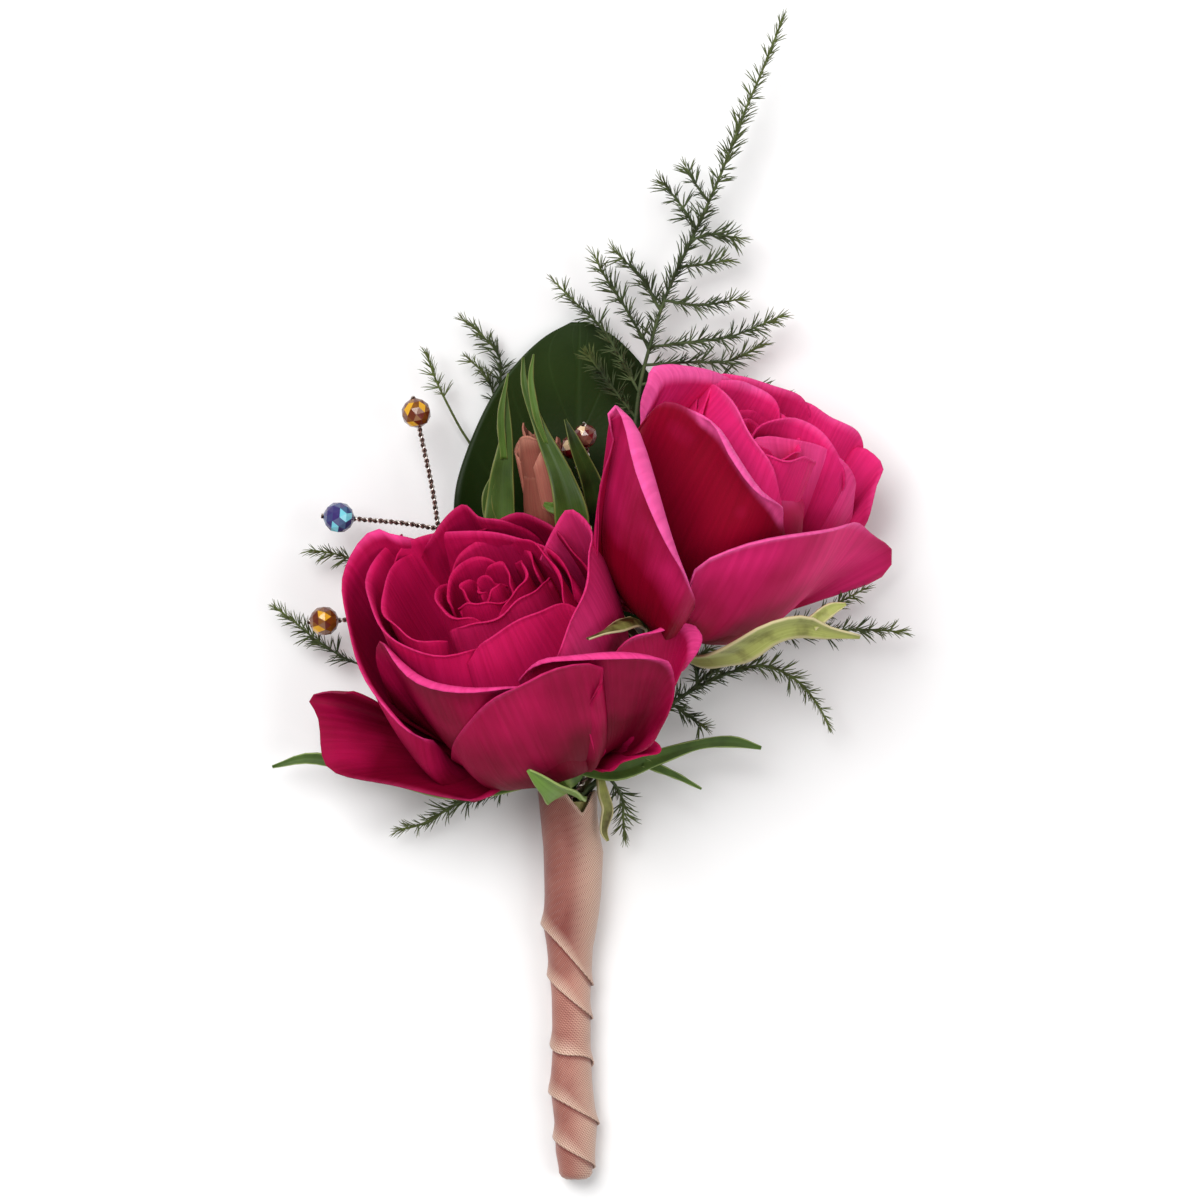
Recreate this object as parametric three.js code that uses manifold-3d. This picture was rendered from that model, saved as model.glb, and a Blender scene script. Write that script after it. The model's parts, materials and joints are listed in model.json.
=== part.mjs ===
// Boutonniere: two spray roses, a bud, a lemon leaf, asparagus fern and wired beads, bound in ribbon.
// It lies on its back. Millimetres, +Z up, +Y from the ribboned stems towards the flowers.
// The origin is under the middle of the whole piece, on the surface that it lies on.

import * as THREE from 'three';
import { mergeVertices } from 'three/addons/utils/BufferGeometryUtils.js';
import Module from 'manifold-3d';

const wasm = await Module();
wasm.setup();

// Driving dimensions
const GAP = 0.3;                       // clearance between pieces that touch on the real thing
const PETAL = 0.65;                    // thickness of petals and sepals
const NEEDLE = { length: 3.2, step: 1.72, spread: 58 };   // spread in degrees from the stem
const GOLDEN_TURN = 137.5;             // degrees from one petal to the next
const FRAME_STEPS = 120;               // how finely the directions across a stem are worked out

const HANDLE = {
  mouth: [-2.3, -28.1, 5.0],           // middle of the open top
  foot: [-1.75, -82.9, 2.6],           // middle of the folded end
  // depth below the mouth, how far the ribbon's middle lies to the right of the stems', its radius
  outline: [
    [0, -0.4, 4.1], [4.4, -0.2, 3.9], [8, 0.35, 4.15], [14.7, 0.2, 3.9], [18.7, -0.2, 3.75],
    [21.5, -0.3, 3.2], [28.6, -0.2, 2.65], [36.4, -0.2, 2.6], [41.5, -0.3, 2.9], [47, 0.3, 2.9],
    [51, 0.2, 2.7], [53.9, 0.2, 2.2],
  ],
  edges: [23.1, 29.2, 37.1, 44.6, 51.1],   // depths at which a turn's lower edge crosses the top side
  slants: [3.1, 1.5, -1.2, 0.8, 0.6],      // how much more than the winding each edge slopes there
  lastPitch: 6.5,                      // from the last of these edges to the ribbon's end
  relief: 0.35,                        // how far a turn's lower edge stands out
  rise: 3.5,                           // length over which it comes out
  notch: 3.2,                          // depth of the V where the ribbon's edges cross
  notchTurn: 70,                       // where the V is, in degrees round from +X
  tuck: 0.9,                           // distance short of the foot at which the end turns in
  fold: [[0.1, 1.7], [0.4, 0.8], [3.6, 0.9]],   // distance short of the foot and radius from there on
  rows: 18,
  sides: 14,
  bore: [[0, 3.15], [5, 3.15], [12, 3.15], [17.6, 2.85], [20, 1.75], [25, 1.75], [51, 1.75]],
  tape: [[1.2, 2.85], [12, 2.85], [17, 2.5]],
  tapeWall: 0.42,
  tapeSides: 12,
  straight: [6, 1],                    // depths at which every stem is still straight
};
const BLOOM_STEM = 0.62;               // radius of a flower's own stem where it is bare
const STEM_SUNK = 1.2;                 // how far its end goes up into the flower's cup

// Where each stem lies in the handle: across, up, its radius, and how far down it runs
const SLOT = {
  openRose: { at: [-0.82, 0.28], radius: 0.62, depth: 48 },
  sideRose: { at: [0.82, 0.28], radius: 0.62, depth: 46 },
  bud: { at: [0.3, -1], radius: 0.45, depth: 22 },
  leaf: { at: [-0.6, -1.72], radius: 0.38, depth: 12 },
  wireLeft: { at: [-1.86, -0.38], radius: 0.28, depth: 10 },
  fernLeft: { at: [-1.5, -1.18], radius: 0.28, depth: 12 },
  fernTall: { at: [1.4, -1.2], radius: 0.33, depth: 12 },
  fernRight: { at: [1.9, -0.55], radius: 0.28, depth: 12 },
  wireCentre: { at: [0, 1.9], radius: 0.28, depth: 10 },
  fernLowRight: { at: [1.22, 1.44], radius: 0.28, depth: 10 },
  fernLowLeft: { at: [-1.22, 1.44], radius: 0.28, depth: 10 },
};

// A flower's base, the height of its axis above the table and the axis's turn from +Y to +X, in degrees
const OPEN_ROSE = { base: [-4.4, -22.1, 11], rise: 40, turn: -23 };
const SIDE_ROSE = { base: [12.4, -3.4, 15], rise: 25, turn: 24.6 };
const BUD = { base: [-3.7, 4.8, 9.5], rise: 9, turn: -12.5 };

// Petals. A lip point is its place in plan, its height up the flower's axis and the width rolled back.
// belly is how far out the cup stands, low is where it starts to turn up and roll is the lip's radius.
const OPEN_ROSE_PETALS = [
  { name: 'flared', belly: 15, low: 0.8, lip: [
    [-32.8, -13.4, 21, 0.5], [-37, -13.6, 17, 1], [-39.1, -14.7, 15, 0.6], [-37.6, -17.6, 14.5, 0.3],
    [-35.9, -24.4, 12, 0.6], [-26.1, -26.7, 9, 1], [-17.7, -28.3, 6, 1], [-13.6, -28.1, 5, 1],
    [-10.6, -26.2, 3.4, 0.5],
  ] },
  { name: 'left', belly: 20, lip: [
    [-20.5, 6.9, 28, 0.5], [-26.1, 7.8, 33, 2], [-28.9, 8.8, 34, 2], [-31.7, 6.7, 33.5, 1.5],
    [-33.8, 1.3, 32, 1], [-32.8, -5.7, 28, 1], [-30, -12, 24, 1.4], [-25.4, -17.4, 19.5, 1.6],
    [-21.2, -20.4, 14, 1.2], [-19.5, -22.1, 9, 0.5],
  ] },
  { name: 'backPeak', belly: 19, lip: [
    [-23.3, 4.8, 28, 0], [-21.1, 8.3, 33, 1], [-17.4, 12.2, 35, 1], [-14.9, 10.5, 34.5, 1],
    [-11.4, 10.1, 34, 1], [-6.5, 7.6, 29, 0],
  ] },
  { name: 'backRight', belly: 18, lip: [
    [-14.9, 9, 32, 0], [-12.1, 10.2, 33, 1], [-9.3, 10.9, 33.5, 1], [-5.4, 9.4, 33, 1],
    [-2, 6.4, 31, 0.8], [0.2, 2.7, 28, 0.5], [1.2, -3.6, 22, 0],
  ] },
  { name: 'tongue', belly: 18.5, lip: [
    [-6.5, 4.8, 30, 0], [-4.3, 9, 33, 0.5], [-2.7, 11.6, 35, 0.6], [-0.5, 10.1, 34.5, 1],
    [0.8, 7.6, 33.5, 1], [0.3, 4.4, 33.5, 1.2], [-1.2, -0.5, 32.5, 1.2], [-3, -5.4, 31.5, 1.2],
    [-3.9, -9, 28, 0.8],
  ] },
  { name: 'cornerCurl', belly: 17, roll: 1.6, lip: [
    [2.7, -10.4, 21, 1], [4.3, -7.6, 23, 1], [6.8, -5.3, 23.5, 2], [10.6, -3.9, 22.5, 3],
    [13, -4.4, 21, 3.4], [14.2, -5.9, 19, 2.8], [14, -8.5, 16, 1.8], [12.4, -10.6, 12, 1],
  ] },
  { name: 'frontRight', belly: 15.5, lip: [
    [-9.3, -11.8, 25, 1.5], [-6.8, -8.6, 29.5, 3], [-3, -7.6, 30.5, 3.4], [2.6, -7.6, 29.5, 3.6],
    [8.2, -8.1, 27, 3], [10.9, -9.4, 24, 1.6], [12, -13.2, 19, 0.8], [11.3, -16.5, 15, 0.8],
    [8.6, -20.7, 9, 0.8],
  ] },
  { name: 'tipLow', belly: 12, low: 0.8, lip: [
    [1.9, -24.6, 3, 0.3], [6.8, -22.8, 5, 0.3], [9.9, -21.8, 6, 0.3], [9.6, -20.4, 7, 0.3],
    [7.5, -18.3, 9, 0.3],
  ] },
  { name: 'frontLeft', belly: 15.5, lip: [
    [-26.8, -15.5, 14, 0], [-28.9, -10.4, 24, 0.5], [-28.5, -6.6, 29.5, 0.8], [-25.4, -8.8, 30, 2.2],
    [-21.6, -10.8, 29.7, 3], [-14.9, -12.3, 27.5, 3], [-7.9, -12.6, 25, 2], [-3.7, -14.8, 17, 0],
  ] },
  { name: 'frontCentre', belly: 15, lip: [
    [-18.8, -22.8, 11, 0.3], [-18.3, -20.7, 16, 0.8], [-16.3, -17.9, 20.5, 1], [-12.8, -14.4, 25.5, 1.2],
    [-9, -11.8, 29, 1.2], [-5.4, -9.9, 30.5, 1.2], [-1.5, -9.4, 29.5, 1], [2, -10.2, 27, 0.8],
    [1.2, -13.2, 23, 0.5], [-1.2, -18.3, 14, 0.5], [-2.8, -23.5, 6, 0.3],
  ] },
];
const OPEN_ROSE_RIMS = [
  { name: 'rimRight', belly: 15, lip: [
    [0.5, -7.8, 22, 0], [-0.2, -3.6, 27, 0.6], [-3, -1.7, 30, 0.8], [-7.2, -2.4, 31.5, 1],
    [-11, -4.3, 31.5, 1], [-13.8, -6.6, 31, 1], [-16.3, -9.5, 28, 0.5],
  ] },
  { name: 'rimLeft', belly: 16, lip: [
    [-26.1, 8.3, 30, 0.5], [-28.9, 5.5, 31.5, 1], [-30.2, 2, 32, 1.2], [-29.5, -2, 32, 1.2],
    [-27.5, -5.3, 31.5, 1.2], [-24.4, -7.3, 31, 1.2], [-19.8, -8, 30.5, 1], [-14.2, -7.3, 29, 0.6],
    [-9.3, -7.8, 25, 0],
  ] },
  { name: 'rimBack', belly: 16, lip: [
    [-28.2, 0.6, 29, 0], [-26.1, 6.2, 31, 0.6], [-21.9, 8.1, 32, 1.2], [-16.3, 8.4, 32.5, 1.2],
    [-10.7, 8, 32, 1.2], [-5.8, 6.2, 31, 1], [-2.6, 2.7, 29, 0.5], [-1.6, -0.8, 26, 0],
  ] },
  { name: 'rimInner', belly: 14, lip: [
    [-23.3, 6.2, 29, 0.2], [-26.8, 4.1, 31, 0.8], [-28.1, -0.1, 31, 1], [-26.7, -3.9, 31, 1],
    [-23.3, -6.4, 30.5, 1], [-19.1, -6.4, 29, 0.4],
  ] },
  { name: 'spire', belly: 14, lip: [
    [-1.6, -6.4, 26, 0], [-2.9, -0.8, 29, 0.6], [-4.8, 3.9, 31.5, 0.6], [-6.8, 6.9, 32.5, 0.6],
    [-9.3, 7.6, 32, 0.6], [-12.1, 6.9, 30, 0],
  ] },
];
const SIDE_ROSE_PETALS = [
  { name: 'left', belly: 18.5, roll: 2.6, lip: [
    [1.3, 0.6, 5, 0], [1.6, 7.6, 13, 0.3], [2, 14.6, 21, 0.6], [3.6, 20.9, 28, 1],
    [3, 24.4, 32, 1.6], [5.4, 26, 34, 2.8], [7.5, 23, 33, 4.4], [8.9, 18.5, 30.5, 5.2],
    [10.6, 13.2, 27, 5], [12.5, 7.3, 22.5, 3.8], [14.2, 2, 17, 1.8], [14.8, -1.5, 11, 0.4],
  ] },
  { name: 'backLeft', belly: 17, roll: 2.4, lip: [
    [7.5, 21.6, 25, 0.5], [8.9, 25.1, 29, 3], [10.3, 28.5, 33, 3.6], [11.4, 30.3, 35, 4],
    [14.5, 30.5, 36, 3.6], [18, 30.1, 35.5, 2.5], [21.5, 28.6, 33, 1.2], [23.6, 25.4, 29, 0],
  ] },
  { name: 'frontLeft', belly: 17, roll: 2.4, lip: [
    [5.8, 17.4, 21, 0.2], [8.2, 23.7, 30, 0.5], [10.7, 26, 34, 0.9], [14.5, 24.9, 34.5, 1.2],
    [18.4, 23.2, 34, 3.8], [20.8, 19.5, 32.5, 5.2], [23.6, 15.4, 30, 5], [26, 12.3, 27, 3.2],
    [27.4, 8.3, 22, 0.6],
  ] },
  { name: 'frontRight', belly: 17.5, lip: [
    [20.8, 16, 25, 0], [22.9, 21.1, 30, 0.8], [27.8, 21.3, 31, 1], [32.7, 20.3, 30.5, 1.2],
    [36.2, 17.9, 28.5, 1], [37.7, 14.6, 25, 0.5], [36.9, 9, 17, 0],
  ] },
  { name: 'low', belly: 16, lip: [
    [15.1, -2.2, 6, 0], [14.5, 1.1, 13.6, 1], [15.9, 4.5, 18, 2.2], [21.5, 7.1, 22.3, 2.6],
    [27.8, 8.8, 25.2, 2.6], [33.4, 9.9, 25.8, 2.2], [36.9, 9.9, 24, 1.6], [40, 8.1, 20.5, 1],
    [42.9, 6.4, 17.5, 0.6], [42.5, 3.4, 14, 0.6], [39.4, 1.4, 10, 0.4], [34.8, 0.8, 7, 0.2],
  ] },
  { name: 'backTop', belly: 18, lip: [
    [15.9, 27.2, 28, 0], [18, 30.2, 32, 1], [21.5, 30, 33.5, 1.4], [25.7, 28.8, 33.5, 1.4],
    [29.9, 27.4, 33, 1.2], [31.6, 24.4, 30, 0],
  ] },
  { name: 'backRight', belly: 18, lip: [
    [27.1, 24.4, 29, 0], [29.9, 26.9, 32, 1], [34.1, 24.6, 31.5, 1.4], [37.6, 23, 30.5, 1.4],
    [38.6, 20.9, 28, 0.6], [38, 17.4, 24, 0],
  ] },
  { name: 'right', belly: 17.5, lip: [
    [35.5, 13.2, 17, 0], [36.6, 19.5, 26, 0.5], [38.6, 20.7, 28.5, 0.8], [41.5, 18.2, 27.5, 1],
    [40.5, 15.3, 25, 1.2], [39.4, 11.5, 21, 1], [38.3, 8.7, 17, 0.6], [36.2, 6.9, 12, 0],
  ] },
];
const SIDE_ROSE_RIMS = [
  { name: 'rimLeft', belly: 15, lip: [
    [14.5, 21.6, 27, 0], [15.9, 27.9, 32, 0.8], [17.6, 28.8, 34, 1], [20.1, 26.5, 34, 1.4],
    [22.6, 22.7, 33, 1.4], [24.9, 18.5, 31, 1.2], [26.5, 13.9, 27, 0.8], [27.4, 9.7, 22, 0.2],
  ] },
  { name: 'rimBack', belly: 14, lip: [
    [15.9, 24.4, 30, 0], [17.6, 28.3, 33.5, 1], [19.8, 29.3, 34.5, 1.4], [23.6, 28.3, 34, 1.8],
    [26.4, 26.5, 33, 1], [27.1, 23, 30, 0],
  ] },
  { name: 'rimFront', belly: 15, lip: [
    [22.2, 17.4, 27, 0], [24, 23.2, 31, 0.8], [27.8, 24.4, 32.5, 1.2], [31.6, 23, 32.5, 1.4],
    [34.1, 20.4, 31, 1.2], [35.8, 17.4, 28, 0.4], [35.5, 13.2, 23, 0],
  ] },
];
// The spiral of small petals in the middle: from the first and widest to the last
const OPEN_ROSE_HEART = { count: 8, radius: [10.5, 2], height: [31, 27.5], start: 10, half: 62 };
const SIDE_ROSE_HEART = { count: 7, radius: [8.4, 2], height: [31.8, 29.6], start: 40, half: 62 };
const BUD_PETALS = { count: 4, radius: [3.3, 1.2], height: [17, 20], start: 60, half: 75 };

// The solid cup that the petals stand on: radius and height up the axis
const OPEN_ROSE_CORE = [
  [0, 0.3], [8, 1], [11.6, 3.4], [13.1, 7], [13, 15], [12, 21], [9.8, 25.6], [0, 25.6],
];
const SIDE_ROSE_CORE = [
  [0, 0.3], [8.4, 1], [12.6, 3.4], [14.6, 8], [14.6, 16], [12.4, 24], [8.6, 29], [0, 29],
];
const BUD_CORE = [[0, 0.5], [2.4, 1], [4, 4.5], [3.9, 8], [2.7, 13], [1.4, 16.5], [0, 17.5]];

// The green cup under each flower: radius and height, below and round the petals' roots
const ROSE_CUP = [[0, -6.2], [2, -5.8], [3.1, -4], [3.3, -2.2], [2.6, -1], [0, -0.6]];
const BUD_CUP = [[0, -4.6], [1.4, -4.3], [2.1, -2.8], [2.1, -1.2], [1.3, -0.3], [0, -0.1]];

// The points of each flower's stem between the handle's mouth and its cup
const OPEN_ROSE_STEM = [[-2.9, -26.6, 5.6]];
const SIDE_ROSE_STEM = [[1.6, -24, 5.6], [6.5, -15.5, 8.5]];
const BUD_STEM = [[-1, -22, 3.6], [0.6, -12, 3.8], [-0.2, -3, 5.6]];

// Sepals: points of the middle line from root to tip, half widths along it, and the side that faces up
const OPEN_ROSE_SEPALS = [
  { path: [[-5.5, -24.2, 7.5], [-10, -26.5, 7.5], [-19, -27.8, 7], [-29, -25.4, 6.5], [-38.5, -23.2, 6.5],
    [-44.4, -24.4, 6.5]], half: [1, 1.2, 1.2, 1, 0.8, 0.25] },
  { path: [[-2.5, -24, 7.5], [4, -25, 8], [10, -23, 8.5], [15.8, -21.2, 9], [20.5, -20.8, 9],
    [24.6, -21.7, 8.5]], half: [1.1, 1.3, 1.1, 0.7, 0.8, 0.25] },
  { path: [[8, -23.7, 8.3], [12.6, -25.6, 8], [16.2, -27.5, 7.5]], half: [0.7, 0.45, 0.2] },
];
const OPEN_ROSE_CURL = {
  path: [[-4.8, -24.6, 8.5], [-3.4, -27.4, 12], [-3, -28.8, 18], [-4.4, -27.8, 24.5], [-8, -25, 29]],
  half: [1, 2, 2.6, 2.2, 0.4], facing: [0, -0.8, 0.6],
};
const SIDE_ROSE_SEPALS = [
  { path: [[9.5, -6.5, 13], [6, -4, 14], [3, 0, 15], [1, 5, 17], [0.6, 9.5, 19]],
    half: [1.2, 1.9, 1.9, 1.4, 0.4], facing: [-1, 0.2, 0.4] },
  { path: [[9.6, -6.4, 13.5], [7.8, -4.9, 19.7], [7, -3.6, 29.6], [4.4, -4.3, 36.6], [0.2, -6.1, 40]],
    half: [1, 1.3, 1.2, 1, 0.3], facing: [-0.6, -0.8, 0.3] },
  { path: [[12, -6, 12], [14, -8.6, 17.6], [19.8, -8.3, 26.6], [25, -5.2, 31.8], [29.5, -4.1, 31.4],
    [33, -5, 30], [37.8, -5.9, 29]], half: [1, 1.5, 2, 2.2, 2, 1.3, 0.35], facing: [0, -0.7, 0.7] },
  { path: [[31, -4.2, 30.6], [33.6, -2.2, 30.8], [35.8, -1.4, 30.6]], half: [1, 0.9, 0.3] },
];
// A small curled leaf on the side rose's stem, hanging over the handle's mouth
const SIDE_ROSE_BRACT = {
  path: [[1.8, -25, 6.4], [2.2, -27.6, 8.4], [2.9, -30.4, 8.4], [2.4, -33.2, 8.6], [3, -34.8, 8.8]],
  half: [0.5, 0.8, 0.9, 0.6, 0.2], facing: [0.5, 0, 1],
};
const BUD_SEPALS = [
  { path: [[-5.6, 3, 9], [-11.6, 8, 9.8], [-12, 15, 10.6], [-11.3, 22, 11.8], [-11.3, 28.6, 12.5]],
    half: [1.2, 1.9, 1.6, 0.8, 0.2] },
  { path: [[-2.5, 4.5, 11.5], [-2, 10, 15.2], [-3.4, 16, 15.8], [-6.4, 23, 15], [-8.6, 29, 14.5],
    [-8.9, 33.2, 14]], half: [0.9, 1, 0.8, 0.6, 0.4, 0.2] },
  { path: [[-1.6, 3.8, 9], [1.8, 7.5, 9.8], [1.2, 14, 12], [-1.4, 20.6, 14.4], [-3, 24.5, 14.6]],
    half: [1.2, 1.7, 1.5, 0.9, 0.2] },
];

const LEAF = {
  // distance up from the blade's foot, its middle line across, and its half width
  stations: [
    [0, -1.9, 0.6], [5, -1.9, 3.5], [12, -1.8, 8.5], [20, -1.7, 13.5], [28, -1.5, 16.8],
    [35, -1.4, 17.2], [42, -1.3, 15.4], [49, -1.2, 12.2], [54, -1.1, 8.6], [57.5, -1, 5], [59.6, -1, 1.2],
  ],
  foot: -21,
  thickness: 0.9,
  sunk: 0.12,                          // how much of its thickness the flat underside takes off
  reach: 18,                           // the furthest that its edge comes out from the middle
  flat: { left: 5, right: 12 },        // how far out from the middle the blade lies on the table
  lift: { left: 4, right: 1.4 },       // how far the edges stand up beyond that
  tipLift: 1.6,
  tipFrom: 44,                         // distance up the blade at which the tip starts to rise
  wave: 0.35,
  columns: [-1, -0.78, -0.4, 0, 0.4, 0.78, 1],
  petioleRadius: 0.5,
};

// Fern sprays: each branch is the points of its stem and the share of it that is bare
const FERN_TALL = [
  { bare: 0.5, path: [[0.8, -17, 2.9], [3.6, -4, 3.2], [5.8, 12, 3.8], [7.2, 27.2, 4.6],
    [8.9, 34.9, 5.4], [11.4, 42.6, 6.2], [15.9, 52.4, 7], [19, 59.4, 7.4], [22.2, 67.8, 7.8],
    [24.6, 73.4, 8], [27.7, 81.2, 8.2]] },
  { path: [[7.4, 28.6, 4.8], [2.6, 37, 5.4], [-1.6, 41.2, 5.8], [-4.4, 44, 6]] },
  { path: [[8.9, 34.6, 5.4], [5, 41.2, 6.6], [2.6, 44.8, 7], [1.2, 47.6, 7.2]] },
  { path: [[10.4, 40.2, 6], [7.6, 44.8, 7.2], [5.4, 47, 7.8], [4, 48.4, 8]] },
  { path: [[15.5, 51.6, 7], [13.2, 55, 7.6], [10.6, 58.2, 8]] },
  { path: [[17.2, 55.4, 7.2], [15.2, 58.2, 6.6], [14.1, 60.2, 6.4]] },
  { path: [[14.8, 50, 6.8], [17.6, 50.8, 7.4], [21.4, 50.2, 7.8]] },
  { path: [[13, 46.2, 6.5], [16.6, 46.6, 6.2], [20.2, 47.2, 6]] },
  { path: [[11, 41.5, 6.1], [16, 40.8, 7], [21.6, 41.6, 7.4]] },
  { path: [[8.9, 34.9, 5.4], [14.4, 35.6, 5.4], [20.4, 36.4, 6.2], [27.4, 39.2, 6.6]] },
  { path: [[8.3, 32.4, 5.1], [14.5, 32.8, 4.8], [20, 33, 4.6], [24.8, 35.2, 4.4]] },
  { bare: 0.5, path: [[7.6, 29.6, 4.8], [15, 31, 3.2], [22, 29.6, 3], [28, 28.1, 3.2]] },
  { path: [[6.9, 25, 4.5], [3.2, 29.8, 5.6], [0, 34, 6]] },
];
const FERN_LEFT = [
  { bare: 0.88, path: [[-7, -19, 1.1], [-13, -7, 0.6], [-15, 4, 0.6], [-14, 14, 0.65],
    [-15.6, 19.6, 1], [-18.2, 24, 2.8], [-21.2, 30, 4.6], [-22.6, 34, 5.4]] },
  { bare: 0.4, path: [[-14, 13, 0.6], [-13, 22, 0.6], [-13.2, 28, 0.9], [-14.4, 31, 2.2],
    [-17, 33.6, 3.6]] },
  { bare: 0.4, path: [[-13, 20, 0.6], [-12.4, 29, 0.6], [-12.4, 33.6, 2.4], [-15, 36.8, 4.2],
    [-17.4, 38.8, 5]] },
  { bare: 0.8, path: [[-12, -9, 0.6], [-20, -4, 1.4], [-28, 2, 2.6], [-34, 5.2, 4], [-38.6, 6.2, 4.6]] },
  { bare: 0.6, path: [[-11.2, -11, 0.65], [-20, -10.4, 1.6], [-31, -10.2, 3.4], [-37, -7.4, 4.4],
    [-41, -4.2, 4.8], [-44.2, -1.8, 5]] },
];
const FERN_RIGHT = [
  { bare: 0.3, path: [[1.6, -26.4, 4.5], [6, -20.6, 4.6], [13, -14.8, 5.2], [20, -11.2, 6],
    [25.4, -10.2, 6.4], [29.9, -12.4, 6.6], [32.6, -15.6, 6.4], [34.1, -18.4, 6]] },
  { path: [[14, -14.2, 5.3], [22, -7.4, 5.6], [30.6, -4.2, 6], [36.4, -0.8, 6.6], [39.4, 0.8, 6.8]] },
  { bare: 0.2, path: [[24, -6.6, 5.7], [31.4, -5.6, 7], [38, -5, 7.6], [44.2, -5.3, 7.8]] },
  { path: [[12, -15.5, 5.1], [15, -17.6, 6], [16.8, -18.9, 6.4]] },
  { path: [[16, -13, 5.5], [15.4, -9.6, 6.6], [17.4, -7.6, 7]] },
];
const FERN_LOW_LEFT = [
  { bare: 0.3, path: [[-3.5, -28.3, 6.7], [-5, -27.5, 6.7], [-7.6, -27.2, 5.9], [-12, -27.8, 5],
    [-18, -29.6, 4.6], [-23, -32.4, 4.6], [-26.6, -33.4, 4.8]] },
];
const FERN_LOW_RIGHT = [
  { bare: 0.4, path: [[-0.25, -28, 6.6], [0.7, -26.9, 6.8], [2.8, -25.8, 6.8], [4.9, -28.6, 5.8],
    [5.2, -32, 5], [5.4, -34.6, 4.8]] },
];

// Beads: middle, radius and the way that the wire runs into it
const BEADS = [
  { name: 'bead_amber_high', at: [-24, 25.5, 9.6], radius: 2.1, from: [-21.8, 15, 8.2] },
  { name: 'bead_violet', at: [-34.9, 10.8, 9.4], radius: 2.2, from: [-26, 10, 8.6] },
  { name: 'bead_amber_low', at: [-37, -3.8, 9], radius: 2.1, from: [-28, -3.4, 8] },
  { name: 'bead_red_front', at: [-2, 20.7, 8.6], radius: 1.7, from: [-0.2, 14, 7.4] },
  { name: 'bead_red_back', at: [-0.2, 22.2, 12.3], radius: 1.7, from: [0.6, 14, 8.6] },
];
const BEAD_BORE = 0.62;
const WIRE = 0.3;                      // radius of a pair of twisted wires
const WIRES_LEFT = {
  trunk: [[-5.5, -22, 2.6], [-11.5, -11, 2], [-17, -3, 3.6], [-19.4, 4, 5.8], [-20.9, 9.2, 7.9]],
  arms: [[[-20.9, 9.2, 7.9], 0], [[-20.9, 9.2, 7.9], 1], [[-18.2, 0.5, 4.7], 2]],
};
const WIRES_CENTRE = {
  trunk: [[0, -25.6, 6.9], [1.2, -20, 6.6], [1.6, -14, 6], [1.4, -6, 5.6], [1.2, 4, 6]],
  arms: [[[1.2, 4, 6], 3], [[1.2, 4, 6], 4]],
};

const COLOURS = {
  openRose: 0xa50f52, sideRose: 0xc9206f, bud: 0xb5776f, calyx: 0x4b6b2c, paleCalyx: 0x6f7a3a,
  leaf: 0x24401a, fern: 0x2c3d22, ribbon: 0xc9958a, tape: 0x8a8a4a, wire: 0x8d8a86,
  amber: 0x9a5a12, violet: 0x3b3f9a, red: 0x8e1018,
};

// ---- vectors and curves ----
const vec = (p) => new THREE.Vector3(...p);
const radians = THREE.MathUtils.degToRad;
const mix = THREE.MathUtils.lerp;

function curveThrough(points) {
  return new THREE.CatmullRomCurve3(points.map(vec), false, 'catmullrom', 0.5);
}

// A value for each point, read at a share of the way along
function readAlong(values, share) {
  const place = share * (values.length - 1);
  const i = Math.min(Math.floor(place), values.length - 2);
  return mix(values[i], values[i + 1], place - i);
}

function flowerFrame({ base, rise, turn }) {
  const [tilt, lean] = [radians(rise), radians(turn)];
  const plan = new THREE.Vector3(Math.sin(lean), Math.cos(lean), 0);
  const axis = plan.clone().multiplyScalar(Math.cos(tilt));
  axis.z = Math.sin(tilt);
  const front = plan.clone().multiplyScalar(-Math.sin(tilt));
  front.z = Math.cos(tilt);
  const side = new THREE.Vector3().crossVectors(axis, front);
  return { base: vec(base), plan, axis, front, side, tilt };
}

function inFlower(frame, radius, angle, height) {
  return frame.base.clone()
    .addScaledVector(frame.front, radius * Math.cos(angle))
    .addScaledVector(frame.side, radius * Math.sin(angle))
    .addScaledVector(frame.axis, height);
}

// ---- closed meshes ----
function closedSolid(geometry) {
  const bare = new THREE.BufferGeometry();
  bare.setAttribute('position', geometry.getAttribute('position'));
  bare.setIndex(geometry.getIndex());
  const merged = mergeVertices(bare, 1e-5);
  const mesh = new wasm.Mesh({
    numProp: 3,
    vertProperties: new Float32Array(merged.getAttribute('position').array),
    triVerts: new Uint32Array(merged.getIndex().array),
  });
  mesh.merge();
  return new wasm.Manifold(mesh);
}

function geometryFrom(points, triangles) {
  const geometry = new THREE.BufferGeometry();
  const numbers = points.flatMap((p) => p.toArray());
  geometry.setAttribute('position', new THREE.Float32BufferAttribute(numbers, 3));
  geometry.setIndex(triangles.flat());
  return geometry;
}

// Two triangles of a quad, a to d in turn
const quad = (a, b, c, d) => [[a, b, c], [a, c, d]];

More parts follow.
